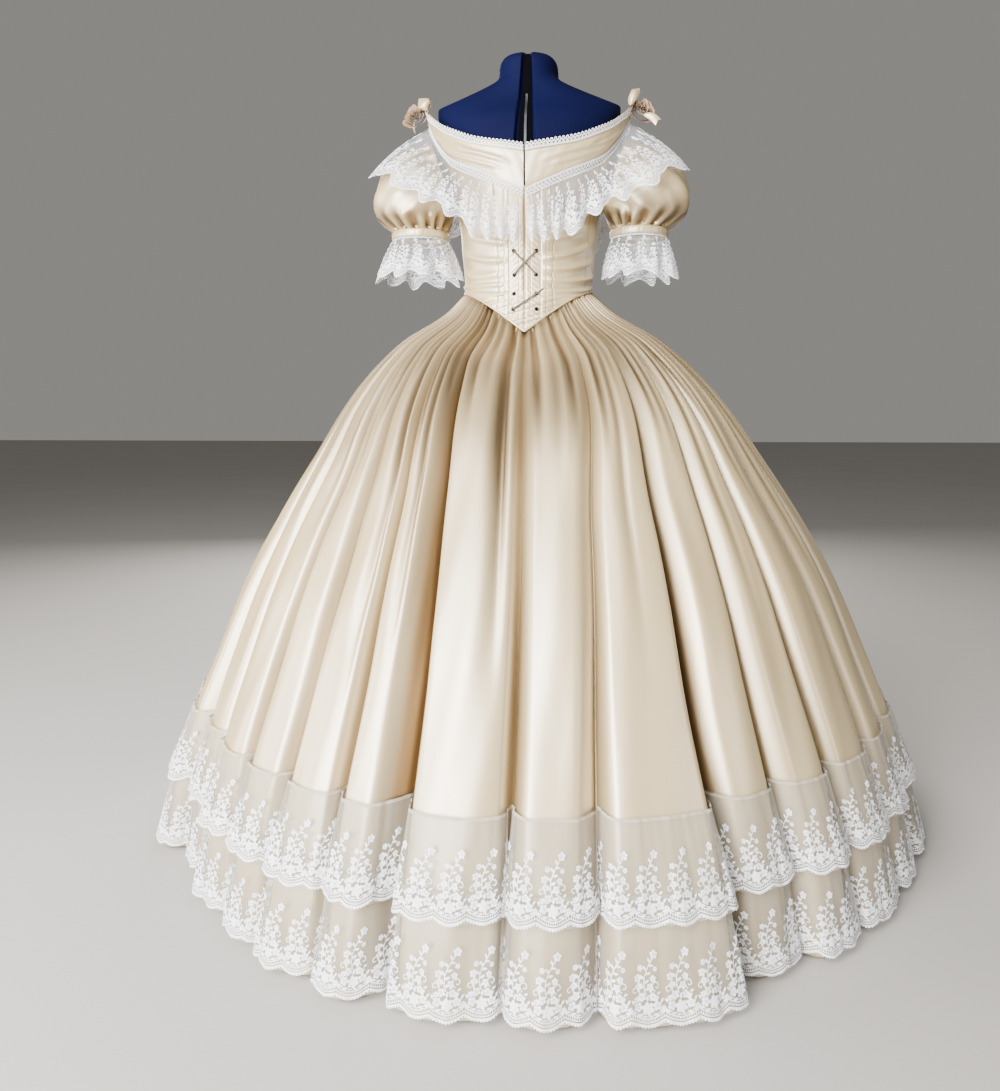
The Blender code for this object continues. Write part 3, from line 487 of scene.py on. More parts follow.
# Surface of the skirt
def valley_rows():
    """All valleys round the gown; the front repeats the back, turned half round."""
    turned = [tuple(value + 180.0 for value in row[:5]) + row[5:] for row in VALLEY_ROWS]
    return np.array(list(VALLEY_ROWS) + turned)


VALLEYS = valley_rows()


def valley_angles():
    """Degrees of each valley at even steps of the drop."""
    fine = np.linspace(0.0, 1.0, DROP_STEPS + 1)
    return np.stack([smooth_curve(VALLEY_LEVELS, row[4::-1], fine) for row in VALLEYS])


VALLEY_ANGLES = valley_angles()


def valley_degrees(number, drop):
    place = np.clip(drop, 0.0, 1.0) * DROP_STEPS
    low = np.minimum(place.astype(int), DROP_STEPS - 1)
    share = place - low
    return VALLEY_ANGLES[number, low] * (1.0 - share) + VALLEY_ANGLES[number, low + 1] * share


def skirt_top_z(angle):
    return waist_z(angle) - 2.5 * SEAM_GAP - PIPING_WIDTH


def skirt_centre_x(drop):
    return SKIRT_DRIFT_X * smooth_curve((0.0, 0.3, 0.5, 1.0), (0.0, 0.8, 1.0, 0.9), drop)


def pleat_creases(number, t, drop):
    """Fine pleats under the bodice, which open out down the skirt."""
    total = np.zeros_like(t)
    for pleat, place in enumerate(PLEAT_PLACES):
        end = 0.12 + 0.42 * uneven(number + 0.37 * pleat, 3.0) ** 1.5
        centre = place + 0.09 * (uneven(number + pleat, 5.0) - 0.5)
        strength = 0.0045 + 0.0110 * uneven(number * 1.7 + pleat, 7.0) ** 1.3
        depth = strength * ease(drop / 0.02 + 0.45) * (1.0 - ease((drop - 0.35 * end) / end))
        away = t - centre
        width = np.where(away < 0.0, *PLEAT_WIDTHS)
        total -= depth * np.exp(-((away / width) ** 2))
    return total


def skirt_relief(degrees, drop):
    """Soft hollows and slow swells of the satin between its folds."""
    slow = wander(np.radians(degrees) * 9.0 + 2.0 * drop, 0.4) * np.sin(drop * 7.0 + degrees * 0.05)
    relief = 0.0030 * slow
    relief += 0.0030 * wander(np.radians(degrees) * 21.0 - 5.0 * drop, 2.2) * ease(drop * 2.5)
    for place, level, half_width, half_height, depth in HOLLOW_ROWS:
        for turn in (0.0, 180.0, -180.0):
            away = ((degrees - place - turn) / half_width) ** 2 + ((drop - level) / half_height) ** 2
            relief -= depth * np.exp(-away)
    return relief


def fold_place(place):
    """The valleys before and after each place, and the share of the way between them."""
    whole = np.floor(place).astype(int)
    number = whole % FOLD_COUNT
    return number, (number + 1) % FOLD_COUNT, place - whole


def fold_walls(number, after, t):
    """How far down each wall of its fold a place lies, from 0 on the panel to 1 in the valley."""
    near = 1.0 - ease(t / VALLEYS[number, LEFT_WALL])
    far = 1.0 - ease((1.0 - t) / VALLEYS[after, RIGHT_WALL])
    return near, far


def skirt_points(place, drop):
    """Points of the satin. Place is a whole number at each valley and grows towards the wearer's left."""
    number, after, t = fold_place(place)
    before = (number - 1) % FOLD_COUNT
    first = valley_degrees(number, drop)
    second = valley_degrees(after, drop) + np.where(after == 0, 360.0, 0.0)
    degrees = first + (second - first) * t
    wall_near, wall_far = fold_walls(number, after, t)
    reaches = VALLEYS[:, VALLEY_REACH]
    reach = reaches[number] * (1.0 - wall_near - wall_far)
    reach = reach + wall_near * np.minimum(reaches[number], reaches[before])
    reach = reach + wall_far * np.minimum(reaches[number], reaches[after])
    sink = VALLEYS[number, VALLEY_DEPTH] * wall_near + VALLEYS[after, VALLEY_DEPTH] * wall_far
    knots = np.array(VALLEY_GROWTH)
    growth = smooth_curve(knots[:, 0], knots[:, 1], drop)
    bulge = PANEL_BULGE * np.sin(math.pi * t) ** 0.8
    crease = np.exp(-((t / CREASE_WIDTH) ** 2)) + np.exp(-(((1.0 - t) / CREASE_WIDTH) ** 2))
    out = (bulge - sink - CREASE_DEPTH * crease) * growth + reach * drop**3
    out = out + pleat_creases(number, t, drop)
    out = out + skirt_relief(np.where(degrees > 180.0, degrees - 360.0, degrees), drop) * growth
    angle = np.radians(degrees)
    top_z = skirt_top_z(angle)
    top_radius = body_radius(angle, top_z, GOWN_WIDTH, GOWN_DEPTH)
    side = np.sin(angle) / HEM_HALF_WIDTH
    back = np.cos(angle) / HEM_HALF_DEPTH
    hem_radius = (side * side + back * back) ** -0.5
    radius = top_radius + (hem_radius - top_radius) * table_value(PROFILE_ROWS, 1, drop) + out
    z = top_z + (SATIN_HEM_Z - top_z) * drop
    x = radius * np.sin(angle) + skirt_centre_x(drop)
    return np.stack([x, radius * np.cos(angle), z], axis=-1)


def painted_fold_shade(place, drop):
    """Painted shade on the satin, between 0 and 1: down in its valleys and pleats, over the upper skirt,
    and as a painted shadow just under the bodice.
    """
    number, after, t = fold_place(place)
    near, far = fold_walls(number, after, t)
    sink = near * VALLEYS[number, VALLEY_DEPTH] + far * VALLEYS[after, VALLEY_DEPTH]
    pleats = -pleat_creases(number, t, drop) / DEEPEST_PLEAT
    # Painted shade over the upper skirt down to an uneven reach, and a painted shadow just under the
    # bodice's edge
    turn = (place - CENTRE_BACK_FOLD) * 2.0 * math.pi / FOLD_COUNT
    reach = 0.15 + 0.09 * np.sin(turn) + 0.05 * wander(turn * 5.0, 1.3)
    pleats = pleats + 0.32 * (1.0 - ease((drop - reach) / 0.15)) + 0.8 * (1.0 - ease(drop / 0.012))
    return np.clip(sink / DEEPEST_VALLEY * (0.45 + 0.55 * ease(drop * 1.6)) + pleats, 0.0, 1.0)


def skirt_at_height(place, z, proud):
    """Points of the satin at one height, moved out level and square to its folds."""
    drop = np.full_like(place, 0.8)
    for _ in range(4):
        point = skirt_points(place, drop)
        angle = np.arctan2(point[..., 0] - skirt_centre_x(drop), point[..., 1])
        top_z = skirt_top_z(angle)
        drop = (top_z - z) / (top_z - SATIN_HEM_Z)
    point = skirt_points(place, drop)
    spoke = unit(point[..., :2] - np.array([SKIRT_DRIFT_X, 0.0]))
    ahead = np.gradient(point[..., :2], axis=0)
    square = unit(np.stack([-ahead[..., 1], ahead[..., 0]], axis=-1))
    square *= np.sign(np.sum(square * spoke, axis=-1))[..., None]
    window = np.hanning(83)[1:-1]
    window /= window.sum()
    padded = np.pad(square, ((40, 40), (0, 0)), mode="edge")
    soft = np.stack([np.convolve(padded[:, axis], window, mode="valid") for axis in (0, 1)], axis=-1)
    away = soft * 0.8 + spoke * 0.2
    away[:8] = spoke[:8]
    away[-8:] = spoke[-8:]
    flat = point[..., :2] + unit(away) * proud
    return np.concatenate([flat, np.full(flat.shape[:-1] + (1,), z)], axis=-1)


# Shader maths
class Wire:
    """A shader value. Arithmetic on it adds Math nodes."""

    def __init__(self, paint, socket):
        self.paint = paint
        self.socket = socket

    def maths(self, operation, first, second):
        return self.paint.node("ShaderNodeMath", {"operation": operation}, {0: first, 1: second})

    def __add__(self, other):
        return self.maths("ADD", self, other)

    def __radd__(self, other):
        return self.maths("ADD", other, self)

    def __sub__(self, other):
        return self.maths("SUBTRACT", self, other)

    def __rsub__(self, other):
        return self.maths("SUBTRACT", other, self)

    def __mul__(self, other):
        return self.maths("MULTIPLY", self, other)

    def __rmul__(self, other):
        return self.maths("MULTIPLY", other, self)

    def __gt__(self, other):
        return self.maths("GREATER_THAN", self, other)

    def __lt__(self, other):
        return self.maths("LESS_THAN", self, other)

    def sine(self):
        return self.maths("SINE", self, 0.0)

    def clamped(self):
        return self.paint.node("ShaderNodeClamp", {}, {"Value": self})


class Paint:
    """The nodes of one material round its Principled BSDF."""

    def __init__(self, name, constants):
        self.material = bpy.data.materials.new(name)
        self.material.use_nodes = True
        self.tree = self.material.node_tree
        self.shader = self.tree.nodes["Principled BSDF"]
        for socket, value in constants.items():
            self.shader.inputs[socket].default_value = value

    def node(self, kind, settings, inputs, output=0):
        node = self.tree.nodes.new(kind)
        for key, value in settings.items():
            setattr(node, key, value)
        for key, value in inputs.items():
            self.feed(node.inputs[key], value)
        return Wire(self, node.outputs[output])

    def feed(self, socket, value):
        if isinstance(value, Wire):
            self.tree.links.new(value.socket, socket)
        else:
            socket.default_value = value

    def shade(self, socket, value):
        self.feed(self.shader.inputs[socket], value)

    def object_place(self, scale=(1.0, 1.0, 1.0)):
        place = self.node("ShaderNodeTexCoord", {}, {}, "Object")
        return self.node("ShaderNodeMapping", {}, {"Vector": place, "Scale": scale})

    def cloth_place(self, scale=(1.0, 1.0, 1.0)):
        place = self.node("ShaderNodeUVMap", {"uv_map": "cloth"}, {})
        return self.node("ShaderNodeMapping", {}, {"Vector": place, "Scale": scale})

    def noise(self, place, scale, detail=2.0):
        return self.node("ShaderNodeTexNoise", {}, {"Vector": place, "Scale": scale, "Detail": detail})

    def threads(self, place, direction, scale):
        settings = {"wave_type": "BANDS", "bands_direction": direction, "wave_profile": "SIN"}
        return self.node("ShaderNodeTexWave", settings, {"Vector": place, "Scale": scale}, "Fac")

    def mix(self, factor, first, second):
        inputs = {"Factor": factor, 6: first, 7: second}
        return self.node("ShaderNodeMix", {"data_type": "RGBA"}, inputs, 2)

    def attribute(self, name):
        return self.node("ShaderNodeAttribute", {"attribute_name": name}, {}, "Fac")

    def part(self, vector, letter):
        return self.node("ShaderNodeSeparateXYZ", {}, {"Vector": vector}, letter)

    def rough(self, height, distance, strength):
        """Relief too fine for the mesh."""
        inputs = {"Height": height, "Distance": distance, "Strength": strength}
        self.shade("Normal", self.node("ShaderNodeBump", {}, inputs))


def tone(colour, factor=1.0):
    """A colour made lighter or darker, with its alpha."""
    return tuple(min(1.0, channel * factor) for channel in colour[:3]) + (1.0,)


def make_satin(colours):
    """Duchess satin: a long smooth sheen, fine weft streaks, a slow drift of warmth, and painted shade
    down its folds.
    """
    constants = {"IOR": 1.85, "Specular IOR Level": 1.0, "Coat Weight": 0.25, "Coat Roughness": 0.35}
    paint = Paint("ivory_satin", constants)
    place = paint.cloth_place()
    streak = paint.noise(paint.cloth_place((60.0, 900.0, 1.0)), 1.0)
    warp = paint.threads(place, "X", 700.0)
    weft = paint.threads(place, "Y", 900.0)
    drift = paint.noise(paint.object_place(), 5.0, 3.0)
    # Painted shade: the fold attribute darkens the colour towards the satin's shade tone
    fold = paint.attribute("fold")
    plain = paint.mix(drift, tone(colours.satin), tone(colours.satin_warm))
    base = paint.mix((fold * 0.85).clamped(), plain, tone(colours.satin_shade_and_streak))
    paint.shade("Base Color", paint.mix((streak * 0.16).clamped(), base, tone(colours.satin_shade_and_streak, 1.2)))
    # Painted shade: where the fold attribute is high the satin turns metallic, so that its reflection
    # darkens to brown
    paint.shade("Metallic", (0.10 + fold * 0.85).clamped())
    paint.shade("Roughness", 0.31 + streak * 0.10 + drift * 0.06)
    ripple = paint.noise(paint.cloth_place((22.0, 9.0, 1.0)), 1.0, 3.0)
    paint.rough(ripple * 0.9 + warp * 0.010 + weft * 0.012 + streak * 0.02, 0.0016, 0.55)
    return paint.material


def make_organza(colours):
    """Sheer organza: see-through crisp threads, closed where the edge is turned at the seam."""
    paint = Paint("sheer_organza", {"Specular IOR Level": 0.4, "Sheen Weight": 0.3})
    place = paint.cloth_place()
    warp = paint.threads(place, "X", 420.0)
    weft = paint.threads(place, "Y", 420.0)
    cloud = paint.noise(paint.cloth_place((30.0, 12.0, 1.0)), 1.0, 3.0)
    turned = paint.part(place, "Y") < TURNED_ORGANZA
    paint.shade("Base Color", paint.mix(cloud, tone(colours.organza), tone(colours.organza, 0.86)))
    paint.shade("Roughness", 0.42 + cloud * 0.12)
    alpha = colours.organza_cover + warp * 0.05 + weft * 0.05 + cloud * 0.12 + turned * 0.4
    paint.shade("Alpha", alpha.clamped())
    paint.rough(warp + weft + cloud * 6.0, 0.0003, 0.5)
    return paint.material


def make_net(colours):
    """Fine net under the flowers of the ruffles: small cells between threads."""
    paint = Paint("fine_net", {"Specular IOR Level": 0.3, "Sheen Weight": 0.2})
    place = paint.cloth_place()
    inputs = {"Vector": place, "Scale": 620.0}
    thread = paint.node("ShaderNodeTexVoronoi", {"feature": "DISTANCE_TO_EDGE"}, inputs) < 0.085
    cloud = paint.noise(paint.cloth_place((40.0, 25.0, 1.0)), 1.0, 2.0)
    turned = paint.part(place, "Y") < TURNED_NET
    paint.shade("Base Color", paint.mix(cloud, tone(colours.lace), tone(colours.lace, 0.9)))
    paint.shade("Roughness", 0.6 + cloud * 0.1)
    paint.shade("Alpha", (0.02 + thread * 0.22 + cloud * 0.07 + turned * 0.6).clamped())
    paint.rough(thread + cloud, 0.0003, 0.5)
    return paint.material


def make_lace(colours):
    """Satin-stitch embroidery: white rayon threads with a soft gloss."""
    paint = Paint("white_lace", {"Specular IOR Level": 0.5, "Sheen Weight": 0.25})
    stitch = paint.noise(paint.object_place((1.0, 1.0, 0.35)), 1500.0, 2.0)
    cloud = paint.noise(paint.object_place(), 60.0, 2.0)
    paint.shade("Base Color", paint.mix(stitch * 0.5, tone(colours.lace), tone(colours.lace, 0.62)))
    paint.shade("Roughness", 0.42 + cloud * 0.15)
    paint.rough(stitch + cloud, 0.0005, 0.6)
    return paint.material


def make_form_cover(colours):
    """Matt knitted cover of the dress form."""
    paint = Paint("navy_cover", {"Specular IOR Level": 0.07})
    knit = paint.noise(paint.object_place((1.0, 1.0, 0.5)), 900.0, 2.0)
    cloud = paint.noise(paint.object_place(), 9.0, 3.0)
    paint.shade("Base Color", paint.mix(cloud, tone(colours.cover), tone(colours.cover, 0.6)))
    paint.shade("Roughness", 0.72 + knit * 0.15)
    paint.rough(knit + cloud * 0.4, 0.0004, 0.5)
    return paint.material


def make_hard(name):
    """A hard finish with a fine grain in its colour, gloss and surface."""
    colour, roughness, metallic, grain = HARD_FINISHES[name]
    paint = Paint(name, {"Metallic": metallic, "Specular IOR Level": 0.03 + 0.45 * metallic})
    speckle = paint.noise(paint.object_place(), grain, 3.0)
    cloud = paint.noise(paint.object_place(), 24.0, 2.0)
    paint.shade("Base Color", paint.mix(cloud, tone(colour), tone(colour, 0.7)))
    paint.shade("Roughness", roughness + speckle * 0.12)
    paint.rough(speckle, 0.0002, 0.4)
    return paint.material


def make_cord(colours):
    """Twisted lacing cord: strands that turn round it, with painted shade in the grooves between them."""
    paint = Paint("taupe_cord", {"Specular IOR Level": 0.3, "Sheen Weight": 0.3})
    place = paint.cloth_place()
    around = paint.part(place, "X")
    along = paint.part(place, "Y")
    strand = (around * 18.85 + along * 2600.0).sine() * 0.5 + 0.5
    fuzz = paint.noise(paint.object_place(), 2600.0, 2.0)
    # Painted shade: darker in the grooves between the strands
    shown = paint.mix(strand * 0.7 + fuzz * 0.2, tone(colours.cord, 0.45), tone(colours.cord))
    paint.shade("Base Color", shown)
    paint.shade("Roughness", 0.7 + fuzz * 0.2)
    paint.rough(strand + fuzz * 0.3, 0.0005, 0.8)
    return paint.material


def make_ribbon(name, colour, shade):
    """Soft gathered ribbon with a fine rib across it, and painted shade where its fold attribute is high.
    """
    paint = Paint(name, {"Specular IOR Level": 0.25})
    rib = paint.threads(paint.cloth_place(), "Y", 420.0)
    cloud = paint.noise(paint.object_place(), 120.0, 3.0)
    fold = paint.attribute("fold")
    plain = paint.mix(cloud, tone(colour), tone(shade))
    # Painted shade: the fold attribute darkens the colour towards a deep tone of the shade colour
    paint.shade("Base Color", paint.mix((fold * 0.9).clamped(), plain, tone(shade, 0.35)))
    paint.shade("Roughness", 0.42 + cloud * 0.15)
    paint.rough(rib * 0.4 + cloud, 0.0006, 0.6)
    return paint.material


def make_rose_ribbon(colours):
    return make_ribbon("taupe_ribbon", colours.rose, colours.rose_shade)


def make_rose_heart(colours):
    return make_ribbon("rose_heart", colours.rose_heart, colours.rose_heart)


CLOTH_MAKERS = {
    "ivory_satin": make_satin,
    "sheer_organza": make_organza,
    "fine_net": make_net,
    "white_lace": make_lace,
    "navy_cover": make_form_cover,
    "taupe_cord": make_cord,
    "taupe_ribbon": make_rose_ribbon,
    "rose_heart": make_rose_heart,
}


def gown_material(name):
    """The material of that name, made at its first use."""
    found = bpy.data.materials.get(name)
    if found is not None and found.get("gown"):
        return found
    if found is not None:
        found.name = "packed_" + name
    if name in HARD_FINISHES:
        made = make_hard(name)
    else:
        made = CLOTH_MAKERS[name](bpy.context.scene.gown_colours)
    made["gown"] = True
    return made


# Meshes
def place_mesh(name, points, faces, material, uv=None, axis=None):
    """A smooth mesh object; its faces point away from the upright axis where one is given."""
    points = np.asarray(points, float).reshape(-1, 3)
    faces = np.asarray(faces)
    if axis is not None:
        corner = points[faces[:, 0]]
        normal = np.cross(points[faces[:, 1]] - corner, points[faces[:, 2]] - corner)
        centre = points[faces].mean(axis=1)
        if np.sum(normal[:, :2] * (centre[:, :2] - np.asarray(axis))) < 0.0:
            faces = faces[:, ::-1]
    mesh = bpy.data.meshes.new(name)
    mesh.from_pydata(points.tolist(), [], faces.tolist())
    mesh.shade_smooth()
    if uv is not None:
        layer = mesh.uv_layers.new(name="cloth")
        corners = np.empty(len(mesh.loops), np.int32)
        mesh.loops.foreach_get("vertex_index", corners)
        layer.data.foreach_set("uv", np.asarray(uv, float)[corners].ravel())
    mesh.materials.append(gown_material(material))
    piece = bpy.data.objects.new(name, mesh)
    bpy.context.scene.collection.objects.link(piece)
    return piece


def grid_faces(rows, columns):
    number = np.arange(rows * columns).reshape(rows, columns)
    corners = [number[:-1, :-1], number[:-1, 1:], number[1:, 1:], number[1:, :-1]]
    return np.stack(corners, axis=-1).reshape(-1, 4)


def row_lengths(grid):
    """Distances along each row of a grid from its first point."""
    steps = np.linalg.norm(np.diff(grid, axis=1), axis=2)
    return np.concatenate([np.zeros((grid.shape[0], 1)), np.cumsum(steps, axis=1)], axis=1)


def cloth_uv(grid):
    """Metres across and down the cloth."""
    across = row_lengths(grid)
    longest = across[np.argmax(across[:, -1])]
    down = row_lengths(np.swapaxes(grid, 0, 1))
    middle = down[down.shape[0] // 2]
    rows, columns = grid.shape[:2]
    u = np.broadcast_to(longest[None, :], (rows, columns))
    v = np.broadcast_to(middle[:, None], (rows, columns))
    return np.stack([u, v], axis=-1).reshape(-1, 2)


def cut_area(grid):
    first = grid[:-1, 1:] - grid[:-1, :-1]
    second = grid[1:, :-1] - grid[:-1, :-1]
    third = grid[1:, :-1] - grid[1:, 1:]
    fourth = grid[:-1, 1:] - grid[1:, 1:]
    upper = np.linalg.norm(np.cross(first, second), axis=2)
    lower = np.linalg.norm(np.cross(third, fourth), axis=2)
    return float((upper + lower).sum() / 2.0)


def finish_piece(piece, nodes):
    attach(piece, "root")
    if nodes:
        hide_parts(*nodes)
    return piece


def declare_sheet(grid):
    """Measures the cloth along its rows and columns, and its area; the sizes are not used."""
    width = float(row_lengths(grid)[:, -1].max())
    length = float(row_lengths(np.swapaxes(grid, 0, 1))[:, -1].max())
    area = min(cut_area(grid), width * length)


def lay_cloth(name, node, grid, material, axis=(0.0, 0.0)):
    """A sheet of cloth through a grid of points."""
    faces = grid_faces(*grid.shape[:2])
    piece = place_mesh(name, grid, faces, material, cloth_uv(grid), axis)
    finish_piece(piece, (node,))
    declare_sheet(grid)
    return piece


def lay_satin(node, grid, axis=(0.0, 0.0)):
    return lay_cloth(f"{node}_satin", node, grid, "ivory_satin", axis)


def shade_folds(piece, depth):
    """Gives the cloth material painted shade at each point, between 0 and 1, in its fold attribute."""
    layer = piece.data.attributes.new("fold", "FLOAT", "POINT")
    layer.data.foreach_set("value", np.ascontiguousarray(depth, np.float32).ravel())


def tube_points(path, radius, sides, closed=False):
    """Rings of points round a path."""
    if closed:
        ahead = np.roll(path, -1, axis=0) - np.roll(path, 1, axis=0)
    else:
        ahead = np.gradient(path, axis=0)
    ahead = unit(ahead)
    across = np.cross(ahead, (0.0, 0.0, 1.0))
    short = np.linalg.norm(across, axis=1) < 0.2
    across[short] = np.cross(ahead[short], (0.0, 1.0, 0.0))
    across = unit(across)[:, None, :]
    upward = np.cross(across, ahead[:, None, :])
    turns = np.linspace(0.0, 2.0 * math.pi, sides + 1)[None, :, None]
    spokes = across * np.cos(turns) + upward * np.sin(turns)
    radius = np.broadcast_to(np.asarray(radius, float), (len(path),))
    return path[:, None, :] + spokes * radius[:, None, None]


def tube_mesh(name, path, radius, material, sides=10, closed=False):
    """A round cord with rounded ends, or a closed ring."""
    if closed:
        path = np.concatenate([path, path[:1]])
        rings = tube_points(path[:-1], radius, sides, True)
        rings = np.concatenate([rings, rings[:1]])
    else:
        count = len(path)
        along = np.linspace(0.0, 1.0, count)
        near_end = np.minimum(along, 1.0 - along) * (count - 1)
        taper = np.sqrt(np.clip(near_end * 0.9 + 0.02, 0.0, 1.0))
        rings = tube_points(path, radius * taper, sides)
    lengths = np.concatenate([[0.0], np.cumsum(np.linalg.norm(np.diff(path, axis=0), axis=1))])
    around = np.linspace(0.0, 1.0, sides + 1)
    uv = np.stack(np.broadcast_arrays(around[None, :], lengths[:, None]), axis=-1).reshape(-1, 2)
    faces = grid_faces(*rings.shape[:2])[:, ::-1]
    return place_mesh(name, rings, faces, material, uv)


# Embroidery charts, in millimetres from the middle of the hem's scallop
class Chart:
    """Flat embroidery as points, with a height above the net, and triangles."""

    def __init__(self):
        self.points = []
        self.faces = []

    def patch(self, points, faces):
        start = len(self.points)
        self.points += points
        self.faces += [tuple(start + corner for corner in face) for face in faces]

    def petal(self, x, y, turn, length, width, lift=0.5):
        """A pointed oval from its root, higher along its middle."""
        along = (math.cos(turn), math.sin(turn))
        outline = ((0.0, 0.0), (0.35, 0.5), (0.72, 0.42), (1.0, 0.0), (0.72, -0.42), (0.35, -0.5))
        points = []
        for far, side in outline:
            px = x + along[0] * far * length - along[1] * side * width
            py = y + along[1] * far * length + along[0] * side * width
            points.append((px, py, 0.1))
        points.append((x + along[0] * 0.5 * length, y + along[1] * 0.5 * length, lift))
        self.patch(points, [(corner, (corner + 1) % 6, 6) for corner in range(6)])

    def flower(self, x, y, petals, radius, turn=0.0, lift=0.6):
        for number in range(petals):
            angle = turn + 2.0 * math.pi * number / petals
            root = radius * 0.18
            width = 2.1 * radius * math.sin(math.pi / petals) * 0.62
            px = x + root * math.cos(angle)
            py = y + root * math.sin(angle)
            self.petal(px, py, angle, radius - root, width, lift)
        self.dot(x, y, radius * 0.2, lift)

    def dot(self, x, y, radius, lift=0.4, corners=5):
        turns = [2.0 * math.pi * corner / corners for corner in range(corners)]
        points = [(x + radius * math.cos(a), y + radius * math.sin(a), 0.1) for a in turns]
        points.append((x, y, lift))
        self.patch(points, [(corner, (corner + 1) % corners, corners) for corner in range(corners)])

    def line(self, path, width, lift=0.3):
        """A line of satin stitch along a path of points."""
        path = np.asarray(path, float)
        ahead = unit(np.gradient(path, axis=0))
        side = np.stack([-ahead[:, 1], ahead[:, 0]], axis=1) * width / 2.0
        points = []
        faces = []
        for number, (middle, edge) in enumerate(zip(path, side)):
            points.append((middle[0] - edge[0], middle[1] - edge[1], 0.1))
            points.append((middle[0], middle[1], lift))
            points.append((middle[0] + edge[0], middle[1] + edge[1], 0.1))
            if number:
                low = 3 * number - 3
                faces += [(low, low + 3, low + 4), (low, low + 4, low + 1)]
                faces += [(low + 1, low + 4, low + 5), (low + 1, low + 5, low + 2)]
        self.patch(points, faces)

    def curl(self, x, y, radius, start, turns, width):
        """A tendril that winds in to its end."""
        shares = np.linspace(0.0, 1.0, 11)
        angles = start + turns * 2.0 * math.pi * shares
        reach = radius * (1.0 - 0.72 * shares)
        self.line(np.stack([x + reach * np.cos(angles), y + reach * np.sin(angles)], axis=1), width)

    def arrays(self):
        return np.array(self.points), np.array(self.faces)


SCALLOP_WIDTH = 45.0
SCALLOP_DEPTH = 7.0
SCALLOP_HEIGHT = 92.0
BRAID_WIDTH = 7.0
NET_ABOVE_EDGE = 0.4
NET_COLUMNS = 8

# Grounds of the lace: word in the piece's name, material, how far the embroidery lies off it
ORGANZA_GROUND = ("organza", "sheer_organza", 0.0007)
NET_GROUND = ("net", "fine_net", 0.0006)
LEAF_WIDTH = 0.42


def scallop_edge(x):
    """Height of the hem's scalloped edge, in millimetres, by distance from the scallop's middle."""
    share = np.abs(2.0 * x / SCALLOP_WIDTH)
    return SCALLOP_DEPTH * share**1.7


def scallop_line(lift, flatness, steps=13):
    x = np.linspace(-SCALLOP_WIDTH / 2.0, SCALLOP_WIDTH / 2.0, steps)
    return np.stack([x, scallop_edge(x) * flatness + lift], axis=1)


def add_leaves(chart, leaves):
    for x, y, degrees, length in leaves:
        chart.petal(x, y, math.radians(degrees), length, length * LEAF_WIDTH)


def sprig(chart, stem, leaves, flowers):
    """A curved stem with leaves by place, degrees and length, and flowers by place, radius and turn."""
    stem = np.array(stem)
    steps = np.linspace(0.0, len(stem) - 1.0, 2 * len(stem) + 1)
    path = np.stack([np.interp(steps, np.arange(len(stem)), stem[:, column]) for column in (0, 1)], axis=1)
    chart.line(path, 1.5)
    add_leaves(chart, leaves)
    for x, y, radius, turn in flowers:
        chart.flower(x, y, 5, radius, turn)


